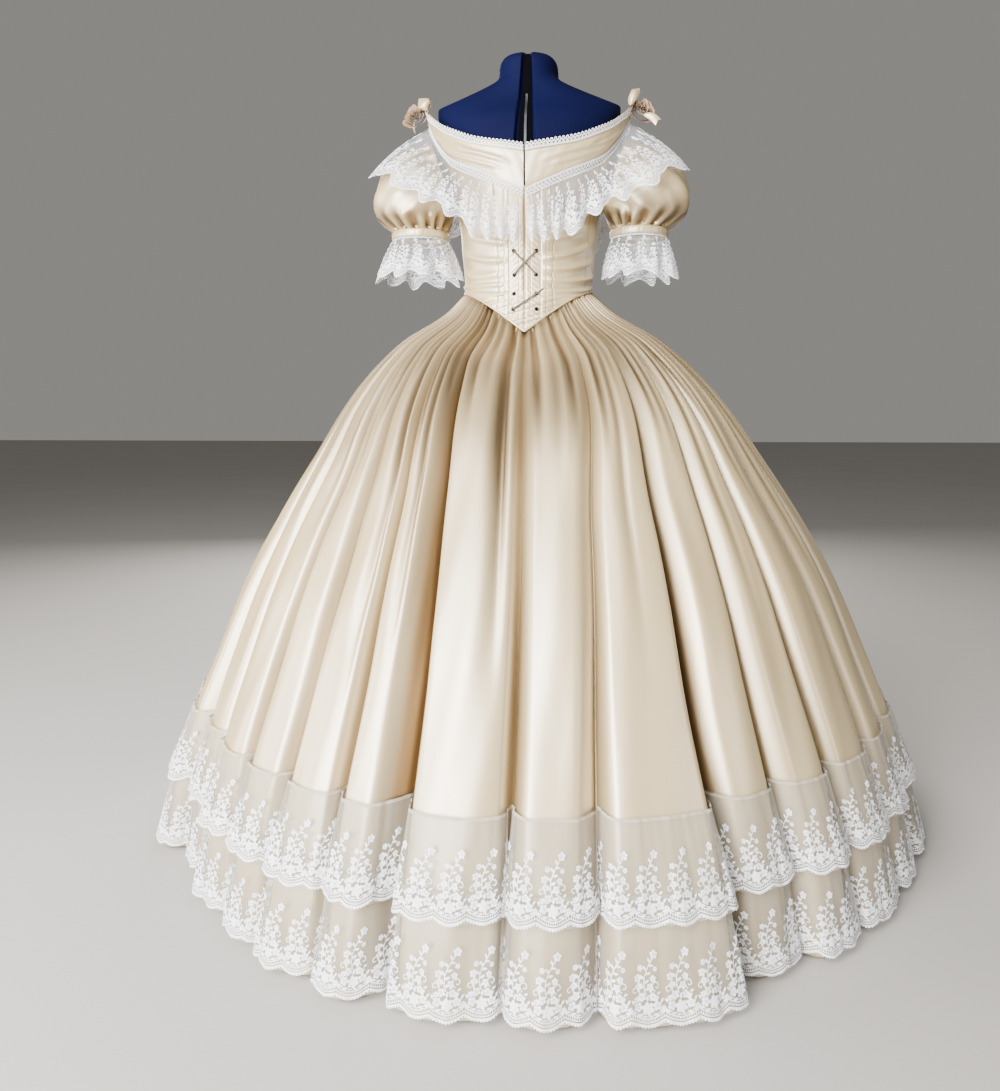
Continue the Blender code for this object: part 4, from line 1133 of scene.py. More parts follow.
def scallop_chart():
    """One repeat of the flounce border: scalloped edge, arcs, garland, curls and a leaning sprig."""
    chart = Chart()
    chart.line(scallop_line(1.4, 1.0), 2.4, 0.5)
    for x in np.linspace(-20.2, 20.2, 11):
        chart.dot(x, float(scallop_edge(x)) - 0.1, 1.9, 0.45)
    chart.line(scallop_line(4.8, 1.12), 1.2)
    chart.line(scallop_line(9.2, 1.3), 1.4)
    for x in np.linspace(-20.9, 20.9, 15):
        low = float(scallop_edge(x))
        chart.line([(x, low * 1.12 + 4.8), (x * 0.97, low * 1.3 + 9.2)], 0.9)
    chart.line(scallop_line(11.9, 1.45, 15), 0.9)
    chart.flower(0.0, 21.5, 6, 9.0, 0.3, 0.9)
    chart.flower(0.0, 21.5, 5, 5.0, 0.9, 1.4)
    for x, y, petals, radius, turn in (
        (-12.6, 25.0, 5, 6.4, 0.2),
        (12.8, 24.2, 5, 6.4, 0.8),
        (-21.0, 21.4, 5, 4.0, 0.5),
        (-7.0, 35.4, 5, 5.6, 0.4),
        (8.0, 36.0, 5, 6.0, 1.0),
        (15.4, 33.0, 5, 4.0, 0.6),
        (-3.4, 47.0, 5, 5.0, 0.9),
        (11.2, 49.0, 5, 5.0, 0.1),
    ):
        chart.flower(x, y, petals, radius, turn)
    garland_leaves = (
        (-7.0, 15.6, 195.0, 8.5),
        (7.0, 15.4, -14.0, 8.5),
        (-14.5, 17.4, 168.0, 8.0),
        (14.5, 17.6, 14.0, 8.0),
        (-1.4, 14.0, 222.0, 5.0),
        (2.2, 14.0, -40.0, 5.0),
        (-9.8, 30.0, 128.0, 8.5),
        (10.8, 30.2, 58.0, 8.5),
        (0.5, 30.0, 96.0, 8.5),
        (-17.4, 28.0, 124.0, 7.0),
        (18.2, 27.6, 60.0, 7.0),
        (-3.0, 39.5, 118.0, 7.5),
        (11.0, 41.0, 72.0, 7.5),
        (-12.4, 38.0, 150.0, 6.5),
    )
    add_leaves(chart, garland_leaves)
    chart.curl(-12.0, 48.5, 6.8, -1.3, 1.05, 1.4)
    chart.curl(16.8, 43.5, 5.2, 3.6, -1.0, 1.3)
    stem = ((2.0, 38.0), (4.8, 47.0), (4.6, 57.0), (0.8, 67.0), (-4.6, 76.0), (-8.6, 82.0))
    stem_leaves = (
        (3.6, 43.0, 150.0, 8.5),
        (4.8, 47.0, 26.0, 8.5),
        (4.6, 52.0, 152.0, 8.5),
        (4.2, 57.0, 38.0, 8.5),
        (2.0, 62.5, 168.0, 8.0),
        (0.4, 67.0, 50.0, 8.0),
        (-2.6, 72.5, 178.0, 7.0),
        (-4.6, 76.0, 66.0, 7.0),
    )
    stem_flowers = (
        (13.0, 58.4, 5.4, 0.5),
        (-8.0, 57.0, 4.6, 0.2),
        (9.4, 70.4, 4.2, 0.7),
        (-10.6, 86.0, 6.0, 0.35),
        (-11.6, 68.6, 3.6, 0.9),
    )
    sprig(chart, stem, stem_leaves, stem_flowers)
    return chart.arrays()


def braid_chart(height):
    """One repeat of the narrow lace: two cords, a lattice between them and picots on one edge."""
    chart = Chart()
    middle = height * 0.56
    end = BRAID_WIDTH / 2.0
    for level, width in ((0.9, 1.5), (middle, 1.1)):
        chart.line([(-end, level), (0.0, level), (end, level)], width, 0.6)
    for side in (-end, end):
        chart.line([(side, 1.0), (side / 2.0, middle * 0.55), (0.0, middle)], 0.8, 0.5)
    chart.flower(0.0, 3.4, 4, 1.7, 0.0, 0.7)
    for degrees in (20.0, 60.0, 90.0, 120.0, 160.0):
        turn = math.radians(degrees)
        chart.dot(2.7 * math.cos(turn), middle + (height - middle - 0.8) * math.sin(turn), 0.95, 0.6, 6)
    turns = np.radians(np.linspace(0.0, 180.0, 7))
    arch = np.stack([3.1 * np.cos(turns), middle + (height - middle - 2.0) * np.sin(turns)], axis=1)
    chart.line(arch, 0.8, 0.5)
    return chart.arrays()


class Strip:
    """A cloth strip between an upper and a lower line, which lace and net are mapped onto."""

    def __init__(self, upper, lower):
        self.upper = upper
        self.lower = lower
        steps = np.linalg.norm(np.diff(lower, axis=0), axis=1)
        self.along = np.concatenate([[0.0], np.cumsum(steps)])
        self.length = float(self.along[-1])
        self.height = float(np.linalg.norm(upper - lower, axis=1).mean())
        normal = unit(np.cross(np.gradient(lower, axis=0), upper - lower))
        middle = (upper + lower)[:, :2] / 2.0
        if np.sum(normal[:, :2] * (middle - middle.mean(axis=0))) < 0.0:
            normal = -normal
        self.normal = normal
        self.shape = None

    def values(self, along, rows):
        return np.stack([np.interp(along, self.along, rows[:, axis]) for axis in range(3)], axis=-1)

    def points(self, along, up, lift):
        """Places on the strip: metres along the lower line, metres up from it, and metres off it."""
        along = np.clip(along, 0.0, self.length)
        share = up / self.height
        lower = self.values(along, self.lower)
        upper = self.values(along, self.upper)
        normal = self.values(along, self.normal)
        if self.shape is not None:
            lift = lift + self.shape(along / self.length, share)
        return lower + (upper - lower) * share[..., None] + normal * lift[..., None]


def embroider(name, strip, chart, size_mm, tall, lift, repeats, nodes=()):
    """Lace repeats along a strip, scaled so that the chart's height becomes the given one, as one mesh."""
    points, faces = chart
    pitch = strip.length / repeats
    numbers = np.arange(repeats)[:, None]
    along = (numbers + 0.5 + points[None, :, 0] / size_mm[0]) * pitch
    up = np.broadcast_to(points[None, :, 1] / size_mm[1] * tall, along.shape)
    high = np.broadcast_to(points[None, :, 2] * 0.001 + lift, along.shape)
    placed = strip.points(along, up, high)
    shifts = (np.arange(repeats) * len(points))[:, None, None]
    everything = (faces[None, :, :] + shifts).reshape(-1, 3)
    piece = place_mesh(name, placed, face_outward(placed, everything, strip), "white_lace")
    return finish_piece(piece, nodes)


def face_outward(placed, faces, strip):
    """The faces turned so that they point away from the strip's inner side."""
    points = placed.reshape(-1, 3)
    corner = points[faces[:, 0]]
    normal = np.cross(points[faces[:, 1]] - corner, points[faces[:, 2]] - corner)
    middle = strip.lower.mean(axis=0)[:2]
    inward = np.sum(normal[:, :2] * (corner[:, :2] - middle), axis=1).sum() < 0.0
    return faces[:, ::-1] if inward else faces


def lay_edging(node, strip, repeats, tall, ground, rows, axis=(0.0, 0.0)):
    """Embroidery along a strip's hem, on a sheer ground that is cut along the scallops."""
    name, material, lift = ground
    size_mm = (SCALLOP_WIDTH, SCALLOP_HEIGHT)
    lace = embroider(f"{node}_lace", strip, scallop_chart(), size_mm, tall, lift, repeats)
    columns = repeats * NET_COLUMNS + 1
    along = np.linspace(0.0, strip.length, columns)
    inside = (np.arange(columns) % NET_COLUMNS) / NET_COLUMNS
    x = (np.where(inside > 0.5, inside - 1.0, inside) + 0.5) % 1.0 - 0.5
    hem = (scallop_edge(x * SCALLOP_WIDTH) + NET_ABOVE_EDGE) * tall / SCALLOP_HEIGHT
    shares = np.linspace(0.0, 1.0, rows)[:, None]
    up = strip.height * (1.0 - shares) + hem[None, :] * shares
    wide = np.broadcast_to(along[None, :], up.shape)
    grid = strip.points(wide, up, np.zeros_like(up))
    uv = np.stack([wide, strip.height - up], axis=-1).reshape(-1, 2)
    piece = place_mesh(f"{node}_{name}", grid, grid_faces(*grid.shape[:2]), material, uv, axis)
    finish_piece(piece, (node,))
    declare_sheet(grid)


# The pieces of the dress form
def gap_half_angle(z):
    half = np.interp(z, (GAP_LOW_Z, FORM_TOP_Z), (GAP_HALF_WIDTH_LOW, GAP_HALF_WIDTH_TOP))
    return np.arctan2(half, table_value(BODY_ROWS, FORM_DEPTH, z))


def torso_rings():
    """The padded torso, whole under the gown, with the groove of its back gap."""
    heights = np.concatenate([np.linspace(FORM_LOW_Z, 1.380, 50), np.linspace(1.384, FORM_TOP_Z, 22)])
    turns = np.linspace(0.0, 2.0 * math.pi, 145)
    coarse = turns[(turns > GROOVE_REACH) & (turns < 2.0 * math.pi - GROOVE_REACH)]
    angles = np.concatenate([np.linspace(-GROOVE_REACH, GROOVE_REACH, 53), coarse])
    z = np.broadcast_to(heights[:, None], (len(heights), len(angles)))
    angle = np.broadcast_to(angles[None, :], z.shape)
    from_back = np.abs(np.where(angle > math.pi, angle - 2.0 * math.pi, angle))
    half = gap_half_angle(z)
    width = table_value(BODY_ROWS, FORM_WIDTH, z)
    groove = ease((half - from_back) / (0.12 * half) + 0.5)
    sink = GAP_DEPTH * np.minimum(1.0, width / 0.05) * groove
    rings = form_point(angle, z, -sink)
    top = rings[-1].mean(axis=0)
    cap = [top + (rings[-1] - top) * share + np.array([0.0, 0.0, rise]) for share, rise in FORM_CAP]
    bottom = rings[0].mean(axis=0)
    floor = [bottom + (rings[0] - bottom) * share for share in (0.0, 0.5, 0.97)]
    rings = np.concatenate([np.array(floor), rings, np.array(cap)])
    return np.concatenate([rings, rings[:, :1]], axis=1)


def build_form():
    rings = torso_rings()
    torso = place_mesh("form_cover", rings, grid_faces(*rings.shape[:2]), "navy_cover", None, (0.0, 0.0))
    finish_piece(torso, ("form_torso",))
    heights = np.linspace(FORM_LOW_Z, 1.4285, 110)[:, None]
    across = gap_half_angle(heights) * np.linspace(-0.74, 0.74, 7)[None, :]
    panel = form_point(across, heights, -PANEL_DEPTH)
    faces = grid_faces(*panel.shape[:2])
    gap = place_mesh("form_gap_panel", panel, faces, "black_gap", cloth_uv(panel), (0.0, 0.0))
    finish_piece(gap, ("form_back_gap",))
    heights = np.linspace(FORM_LOW_Z, RAIL_TOP_Z, 100)[:, None]
    depth = table_value(BODY_ROWS, FORM_DEPTH, heights)
    across = np.array([-1.0, -1.0, 1.0, 1.0, -1.0])[None, :] * RAIL_HALF_WIDTH
    sunk = np.array([-0.002, 0.0, 0.0, -0.002, -0.002])[None, :] - RAIL_DEPTH
    profile = form_point(np.arctan2(across, depth), heights, sunk)
    faces = grid_faces(*profile.shape[:2])
    rail = place_mesh("form_back_rail", profile, faces, "stand_steel", None, (0.0, 0.08))
    rail.data.shade_flat()
    finish_piece(rail, ("form_rail",))
    for name in ("stand_pole", "stand_base"):
        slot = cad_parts[name].material_slots[0]
        slot.link = "OBJECT"
        slot.material = gown_material("stand_steel")


# The skirt
def build_skirt_panels():
    names = ("skirt_back_left", "skirt_front_left", "skirt_front_right", "skirt_back_right")
    quarter = FOLD_COUNT // 4
    steps = bpy.context.scene.gown_sizes.fold_steps
    inside = np.linspace(0.0, 1.0, steps, endpoint=False)
    inside = inside - 0.45 * np.sin(2.0 * math.pi * inside) / (2.0 * math.pi)
    drops = np.concatenate([np.linspace(0.0, 0.3, 38, endpoint=False), np.linspace(0.3, 1.0, 50)])
    for number, name in enumerate(names):
        start = CENTRE_BACK_FOLD + number * quarter
        place = np.concatenate([start + fold + inside for fold in range(quarter)] + [[start + quarter]])
        drop, wide = np.meshgrid(drops, place, indexing="ij")
        grid = skirt_points(wide, drop)
        turned = []
        for inward, up in HEM_TURN:
            edge = grid[-1].copy()
            edge[:, :2] -= unit(edge[:, :2] - np.array([SKIRT_DRIFT_X, 0.0])) * inward
            edge[:, 2] += up
            turned.append(edge)
        # Painted shade for the satin's colour, none on the turned hem
        depth = np.concatenate([painted_fold_shade(wide, drop), np.zeros((len(turned), len(place)))])
        grid = np.concatenate([grid, np.array(turned)])
        shade_folds(lay_satin(name, grid), depth)


def flounce_shape(phase, repeats):
    """Small gathers under the seam and slow waves at the hem, in metres off the straight strip."""

    def shape(share_along, share_up):
        turn = share_along * 2.0 * math.pi
        gathers = 0.0015 * wander(turn * repeats * 1.6, phase) * ease((share_up - 0.45) / 0.55)
        near_hem = (1.0 - np.clip(share_up, 0.0, 1.0)) ** 1.4
        waves = 0.0046 * wander(turn * repeats * 0.30, phase + 0.7) * near_hem
        ripple = 0.0014 * wander(turn * repeats * 0.93, phase + 2.3)
        return gathers + waves + ripple

    return shape


def build_flounces():
    pitch = bpy.context.scene.gown_sizes.scallop_pitch
    half = FOLD_COUNT // 2
    for name, top_z, hem_z, top_out, hem_out, phase in FLOUNCE_ROWS:
        for side, start in (("left", CENTRE_BACK_FOLD), ("right", CENTRE_BACK_FOLD + half)):
            place = np.linspace(start + 0.004, start + half - 0.004, 3000)
            upper = skirt_at_height(place, top_z, top_out)
            lower = skirt_at_height(place, hem_z, hem_out)
            strip = Strip(upper, lower)
            repeats = round(strip.length / pitch)
            strip.shape = flounce_shape(phase, repeats)
            tall = pitch * SCALLOP_HEIGHT / SCALLOP_WIDTH
            lay_edging(f"{name}_{side}", strip, repeats, tall, ORGANZA_GROUND, 14)


# The bodice
def crease_ridges(degrees, z, rows):
    relief = np.zeros_like(z)
    for first, last, z_first, z_last, sag, height, width in rows:
        t = (degrees - first) / (last - first)
        centre = z_first + (z_last - z_first) * t + sag * 4.0 * t * (1.0 - t)
        away = (z - centre) / width
        ends = ease(t / 0.25) * ease((1.0 - t) / 0.2)
        relief += 1.5 * height * ends * np.exp(-away * away) * (1.0 + 0.55 * np.clip(away, -1.2, 1.2))
    return relief


def bodice_relief(angle, z):
    """Creases, boning channels, seams and puckers of the bodice, in metres out from its form."""
    degrees = np.degrees(angle) % 360.0
    from_back = np.where(degrees > 180.0, degrees - 360.0, degrees)
    from_front = np.where(from_back > 0.0, 180.0 - from_back, -180.0 - from_back)
    relief = 0.0008 + crease_ridges(from_back, z, BACK_CREASES) * (np.abs(from_back) < 100.0)
    relief = relief + crease_ridges(from_front, z, FRONT_CREASES) * (np.abs(from_front) < 90.0)
    x = np.abs(gown_point(angle, z)[..., 0])
    at_back = np.abs(from_back) < 60.0
    for line in CHANNEL_LINES:
        relief = relief - at_back * 0.0004 * np.exp(-(((x - line) / 0.0008) ** 2))
    bone = ease((x - CHANNEL_LINES[1]) / 0.003) * ease((CHANNEL_LINES[2] - x) / 0.003)
    relief = relief + at_back * 0.0006 * bone
    low = ease((1.150 - z) / 0.05)
    for centre, spread, size, pace, seed in PUCKER_ROWS:
        ripple = wander(z * pace + 9.0 * x / 0.02 + np.sign(from_back) * 2.0, seed)
        relief = relief + at_back * low * size * ripple * np.exp(-(((x - centre) / spread) ** 2))
    near_point = ease((1.02 - z) / 0.05) * at_back
    relief = relief + near_point * 0.0015 * wander(z * 420.0 + from_back * 0.22, 3.3)
    edge = ease((0.0042 - np.abs(x)) / 0.003) * at_back
    relief = relief - edge * 0.0006
    for seam in BODICE_SEAMS:
        relief = relief - 0.0007 * np.exp(-(((np.abs(from_back) - seam) / 0.55) ** 2))
    return relief


def build_bodice_panels():
    for name, first, last, columns, rows in BODICE_PIECES:
        angles = np.radians(np.linspace(first + SEAM_TRIM, last - SEAM_TRIM, columns))
        shares = np.linspace(0.0, 1.0, rows)[:, None]
        armhole = 1.0 - ease((np.abs(fold_degrees(angles) - 90.0) - 6.0) / 8.0)
        top = BODICE_TOP_Z + BODICE_TOP_RISE * np.sin(2.0 * angles) ** 2
        top = np.maximum(top, bertha_low_z(angles) - 0.003 - 0.06 * armhole)
        z = top[None, :] * (1.0 - shares) + waist_z(angles)[None, :] * shares
        angle = np.broadcast_to(angles[None, :], z.shape)
        relief = bodice_relief(angle, z)
        grid = gown_point(angle, z, relief)
        panel = lay_satin(name, grid)
        # Painted shade: dark lines where the back edges part, a painted shadow under the ruffle at the
        # top, and darker the lower the relief lies, most in crease troughs and channel lines
        parting = PARTING_HALF_WIDTH * ease((PARTING_TOP_Z - z) / 0.012)
        meeting_shade = 1.0 - ease((np.abs(np.abs(grid[..., 0]) - parting) - 0.0006) / 0.0016)
        meeting_shade = meeting_shade * (grid[..., 1] > 0.0) * ease((z - PARTING_LOW_Z) / 0.008)
        shaded = 0.45 * ease((z - 1.115) / 0.03)
        shade_folds(panel, np.clip(1.3 * meeting_shade + shaded + (0.0014 - relief) / 0.0030, 0.0, 1.0))
    angles = np.radians(np.arange(0.0, 360.0, 1.0))
    middle = waist_z(angles) - SEAM_GAP - PIPING_WIDTH / 2.0
    path = gown_point(angles, middle, 0.0008)
    piping = tube_mesh("bodice_piping_satin", path, 0.0021, "ivory_satin", 10, True)
    finish_piece(piping, ("bodice_piping",))


# The bertha
def bertha_relief(angle, share):
    """Soft creases that run along the neckline and settle towards the centre back."""
    degrees = fold_degrees(angle)
    side = np.where(np.degrees(angle) % 360.0 > 180.0, -1.0, 1.0)
    relief = 0.0012 + 0.0016 * np.sin(math.pi * share) ** 0.7
    for centre, slope, height, width, start, stop in BERTHA_CREASES:
        t = (degrees - start) / (stop - start)
        along = centre + slope * (t - 0.5) + 0.02 * side
        away = (share - along) / width
        ends = ease(t / 0.3) * ease((1.0 - t) / 0.3) * (1.0 + 0.35 * side)
        relief = relief + height * ends * np.exp(-away * away) * (1.0 + 0.6 * np.clip(away, -1.2, 1.2))
    relief = relief + 0.0006 * wander(np.radians(degrees) * 11.0 + share * 3.0, 1.1)
    under_laces = ease((share - 0.10) / 0.14) * ease((0.90 - share) / 0.14)
    return 0.0008 + (relief - 0.0008) * under_laces


def build_bertha_band():
    for name, first, last, columns in BERTHA_PIECES:
        angles = np.radians(np.linspace(first, last, columns))
        shares = np.linspace(0.0, 1.0, 34)[:, None]
        z = neckline_z(angles)[None, :] * (1.0 - shares) + bertha_low_z(angles)[None, :] * shares
        angle = np.broadcast_to(angles[None, :], z.shape)
        share = np.broadcast_to(shares, z.shape)
        grid = gown_point(angle, z, 0.0010 + bertha_relief(angle, share))
        turn = gown_point(angles, neckline_z(angles), -0.001)
        grid = np.concatenate([turn[None], grid])
        band = lay_satin(name, grid)
        # Painted shade along both edges of the band, under the narrow laces
        shade = 1.0 - ease((share - 0.12) / 0.05) * ease((0.88 - share) / 0.05)
        shade_folds(band, np.concatenate([np.zeros((1, columns)), 0.6 * shade]))
    angles = np.radians(np.linspace(0.9, 359.1, 1600))
    for name, middle, above, below, upright in (
        ("neck_edging", neckline_z(angles), 0.003, 0.010, True),
        ("bertha_braid", bertha_low_z(angles), 0.009, 0.005, False),
    ):
        upper = gown_point(angles, middle + above, 0.0042)
        lower = gown_point(angles, middle - below, 0.0048)
        if not upright:
            upper, lower = lower, upper
        height = (above + below) * 1000.0
        strip = Strip(upper, lower)
        repeats = round(strip.length / BRAID_REPEAT)
        size_mm = (BRAID_WIDTH, height)
        chart = braid_chart(height)
        embroider(f"{name}_lace", strip, chart, size_mm, strip.height, 0.0004, repeats, (name,))


def ruffle_lines(mirror):
    """Upper and lower line of the bertha ruffle, and the direction in which it swells."""
    degrees = np.linspace(0.9, 179.4, 2400)
    angles = np.radians(degrees)
    hem = np.stack([table_value(RUFFLE_ROWS, column, degrees) for column in (1, 2, 3)], axis=-1)
    top = gown_point(angles, bertha_low_z(angles) - 0.0042, 0.0034)
    along = np.gradient(hem, axis=0)
    away = unit(np.stack([-along[:, 1], along[:, 0], np.zeros(len(degrees))], axis=-1))
    place = np.linspace(0.0, 1.0, len(degrees))
    turns = place * RUFFLE_WAVES * 2.0 * math.pi + 0.55 * wander(place * 31.0, 0.6 if mirror > 0 else 2.4)
    wave = (0.5 - 0.5 * np.cos(turns)) ** 0.8
    hem = hem + away * (RUFFLE_WAVE_DEPTH * wave)[:, None]
    hem[:, 2] -= RUFFLE_WAVE_DROP * (2.0 * wave - 1.0)
    flip = flipped(mirror)
    return top * flip, hem * flip, away * flip


def ruffle_shape(bulge, pleat_depth, pleat_count, seed):
    """A swell down a ruffle and small pleats that deepen upwards, in metres off the straight strip."""

    def shape(share_along, share_up):
        up = np.clip(share_up, 0.0, 1.0)
        pleats = pleat_depth * wander(share_along * 2.0 * math.pi * pleat_count, seed)
        return bulge * np.sin(math.pi * up) + pleats * ease(up / 0.9)

    return shape


def build_bertha_ruffles():
    for side, mirror in SIDES:
        upper, lower, away = ruffle_lines(mirror)
        strip = Strip(upper, lower)
        strip.normal = away
        strip.shape = ruffle_shape(RUFFLE_BULGE, 0.0016, 52.0, mirror + 1.5)
        repeats = round(strip.length / RUFFLE_SCALLOP)
        tall = strip.height * 0.90
        lay_edging(f"bertha_ruffle_{side}", strip, repeats, tall, NET_GROUND, 18)


# The sleeves
def sleeve_gathers(turns):
    """The gathers above the band, from 0 in their troughs to 1 on their crests."""
    return 0.5 + 0.5 * np.sin(turns * SLEEVE_GATHERS + 1.6 * wander(turns * 2.0, 0.9))


def sleeve_points(turns, level, swell):
    """Points of the left puff sleeve. Level grows from 0 at the armhole to 6 at the band."""
    rows = np.array(SLEEVE_ROWS)
    numbers = np.arange(len(rows), dtype=float)
    x, z, tilt, width, depth = (smooth_curve(numbers, rows[:, column], level) for column in range(5))
    tilt = np.radians(tilt)
    wider = np.where(z < 1.21, (width - rows[-1, 3]) * (swell - 1.0) * 2.0, 0.0)
    x = x + wider
    width = width + wider
    low = ease((level - 3.4) / 2.4)
    high = ease((2.2 - level) / 2.2)
    folds = sleeve_gathers(turns)
    folds_high = 0.5 + 0.5 * np.sin(turns * 11.0 + 1.1 * wander(turns * 2.0, 2.9))
    gather = -GATHER_DEPTH * low * (1.0 - folds**0.8) * (1.0 - 0.62 * ease((level - 5.3) / 0.7))
    gather = gather - HIGH_GATHER_DEPTH * high * folds_high * ease(level / 0.6)
    slump = SLUMP_DEPTH * wander(turns * 3.0 + level * 1.1, 1.7) * ease(level / 1.5) * (1.0 - low)
    out = gather + slump
    along = (width + out) * np.cos(turns)
    px = x + along * np.cos(tilt)
    pz = z + along * np.sin(tilt)
    return np.stack([px, (depth + out) * np.sin(turns), pz], axis=-1)


def band_points(turns):
    """Points of the left sleeve's band, a folded strip that the gathers pull a little uneven."""
    x, z, _, width, depth = SLEEVE_ROWS[-1]
    pulled = 0.0005 * wander(turns * SLEEVE_GATHERS, 0.3)
    rows = []
    for drop, out in BAND_PROFILE:
        px = x + (width + out + pulled) * np.cos(turns)
        py = (depth + out + pulled) * np.sin(turns)
        rows.append(np.stack([px, py, np.full_like(turns, z - SEAM_GAP - drop)], axis=-1))
    return np.array(rows)


def build_puff_sleeves():
    turns = np.linspace(0.0, 2.0 * math.pi, 157) + math.pi
    level, turn = np.meshgrid(np.linspace(0.0, 6.0, 62), turns, indexing="ij")
    # Painted shade: in the troughs of the gathers and over the lower half, which faces away from the
    # light, and a painted shadow under the ruffle near the armhole
    trough = (1.0 - sleeve_gathers(turn)) * ease((level - 3.2) / 1.6)
    shaded = 0.55 * (1.0 - ease((level - 0.7) / 0.9))
    depth = np.clip(shaded + 0.42 * ease((level - 2.8) / 1.5) + 0.75 * trough, 0.0, 1.0)
    for side, mirror in SIDES:
        axis = (SLEEVE_AXIS_X * mirror, 0.0)
        grid = sleeve_points(turn, level, SLEEVE_SWELL[side]) * flipped(mirror)
        puff = lay_satin(f"sleeve_puff_{side}", grid, axis)
        shade_folds(puff, depth)
        grid = band_points(turns) * flipped(mirror)
        lay_satin(f"sleeve_band_{side}", grid, axis)


def ring_line(centre_x, radius, turns, z):
    return np.stack([centre_x + radius * np.cos(turns), radius * np.sin(turns), z], axis=-1)


def build_cuffs():
    x, z, _, width, _ = SLEEVE_ROWS[-1]
    turns = np.linspace(0.0, 2.0 * math.pi, 1500) + math.pi
    start_z = np.full_like(turns, z - BAND_DROP - 2.0 * SEAM_GAP)
    for side, mirror in SIDES:
        wave = np.cos(turns * CUFF_WAVES + 0.7 * wander(turns * 2.0, 1.2 + mirror))
        radius = CUFF_HEM_RADIUS[side] + CUFF_WAVE_DEPTH * wave
        lower = ring_line(x + 0.004, radius, turns, CUFF_HEM_Z - CUFF_WAVE_DROP * wave)
        upper = ring_line(x, width, turns, start_z)
        strip = Strip(upper * flipped(mirror), lower * flipped(mirror))
        strip.shape = ruffle_shape(0.004, 0.0013, 24.0, mirror)
        repeats = round(strip.length / RUFFLE_SCALLOP)
        tall = strip.height * 0.95
        axis = ((x + 0.002) * mirror, 0.0)
        lay_edging(f"cuff_ruffle_{side}", strip, repeats, tall, NET_GROUND, 14, axis)


# Lacing
def surface_frame(x, z):
    """Point of the bodice's back, and its level, upward and outward directions there."""
    angle = math.atan2(x, LACING_DEPTH)
    centre = gown_point(np.array(angle), np.array(z))
    higher, lower = gown_point(np.array([angle, angle]), np.array([z + 0.012, z - 0.012]))
    left, right = gown_point(np.array([angle + 0.08, angle - 0.08]), np.array([z, z]))
    upward = unit(higher - lower)
    across = unit(left - right)
    return centre, across, upward, unit(np.cross(upward, across))


def apply_frame(piece, centre, across, upward, outward):
    """Moves a flat-lying mesh onto a surface: its own X, Y and Z become across, upward and outward."""
    count = len(piece.data.vertices)
    points = np.empty(count * 3)
    piece.data.vertices.foreach_get("co", points)
    points = points.reshape(-1, 3)
    placed = centre + points[:, :1] * across + points[:, 1:2] * upward + points[:, 2:] * outward
    piece.data.vertices.foreach_set("co", placed.ravel())
    piece.data.update()


def place_copy(model, name, material, nodes, frame_at):
    copy = bpy.data.objects.new(name, model.data.copy())
    bpy.context.scene.collection.objects.link(copy)
    copy.data.materials.append(gown_material(material))
    apply_frame(copy, *frame_at)
    finish_piece(copy, nodes)


def build_eyelets():
    """Rolled metal eyelets, modelled once and copied to each place, each with a black disc in its hole
    that stands in for the shade inside.
    """
    bpy.ops.object.select_all(action="DESELECT")
    sizes = {"major_radius": EYELET_RADIUS, "minor_radius": EYELET_RIM}
    bpy.ops.mesh.primitive_torus_add(major_segments=28, minor_segments=10, **sizes)
    ring = bpy.context.object
    bpy.ops.object.mode_set(mode="EDIT")
    bpy.ops.mesh.select_all(action="SELECT")
    bpy.ops.transform.resize(value=(1.0, 1.0, 0.75))
    bpy.ops.object.mode_set(mode="OBJECT")
    bpy.ops.object.shade_smooth()
    bpy.ops.object.select_all(action="DESELECT")
    bpy.ops.mesh.primitive_circle_add(vertices=20, radius=HOLE_RADIUS, fill_type="TRIFAN")
    hole = bpy.context.object
    for level, z in enumerate(EYELET_ROWS_Z):
        for side, mirror in SIDES:
            centre, across, upward, outward = surface_frame(mirror * EYELET_X, z)
            label = f"eyelet_{side}_{level + 1}"
            rim_frame = (centre + outward * EYELET_LIFT, across, upward, outward)
            hole_frame = (centre + outward * (EYELET_LIFT + 0.0001), across, upward, outward)
            place_copy(ring, f"{label}_rim", "eyelet_bronze", (label,), rim_frame)
            # Painted shade: a black disc inside each rim for the shade in the hole
            place_copy(hole, f"{label}_hole", "black_gap", (), hole_frame)
    for model in (ring, hole):
        bpy.data.objects.remove(model, do_unlink=True)


def lacing_route(start, end, middle_lift, count):
    """Points of a cord over the bodice, from below one eyelet's rim to its other end."""
    shares = np.linspace(0.0, 1.0, count)
    x = start[0] + (end[0] - start[0]) * shares
    z = start[1] + (end[1] - start[1]) * shares
    lift = LACING_LIFT + middle_lift * np.sin(math.pi * shares)
    return gown_point(np.arctan2(x, LACING_DEPTH), z, lift)


def build_lacing_cords():
    radius = bpy.context.scene.gown_sizes.cord_diameter / 2.0
    first, second, third, fourth = EYELET_ROWS_Z
    crossings = (
        ("lacing_cross_under", (EYELET_X, first), (-EYELET_X, second), 0.0),
        ("lacing_cross_over", (-EYELET_X, first), (EYELET_X, second), 0.0030),
    )
    for name, start, end, lift in crossings:
        route = lacing_route(start, end, lift, 36)
        piece = tube_mesh(f"{name}_cord", route, radius, "taupe_cord")
        finish_piece(piece, (name,))
    route = lacing_route((EYELET_X, fourth), (-0.0345, third + 0.010), 0.0012, 44)
    tail = tube_mesh("lacing_tail_cord", route, radius, "taupe_cord")
    finish_piece(tail, ("lacing_tail",))


# Shoulder trims
def rose_frame(mirror):
    facing = unit(np.array(ROSE_FACING))
    across = unit(np.cross(facing, (0.0, 1.0, 0.0)))
    upward = np.cross(across, facing)
    flip = flipped(mirror)
    return np.array(ROSE_CENTRE) * flip, across * flip, upward * flip, facing * flip


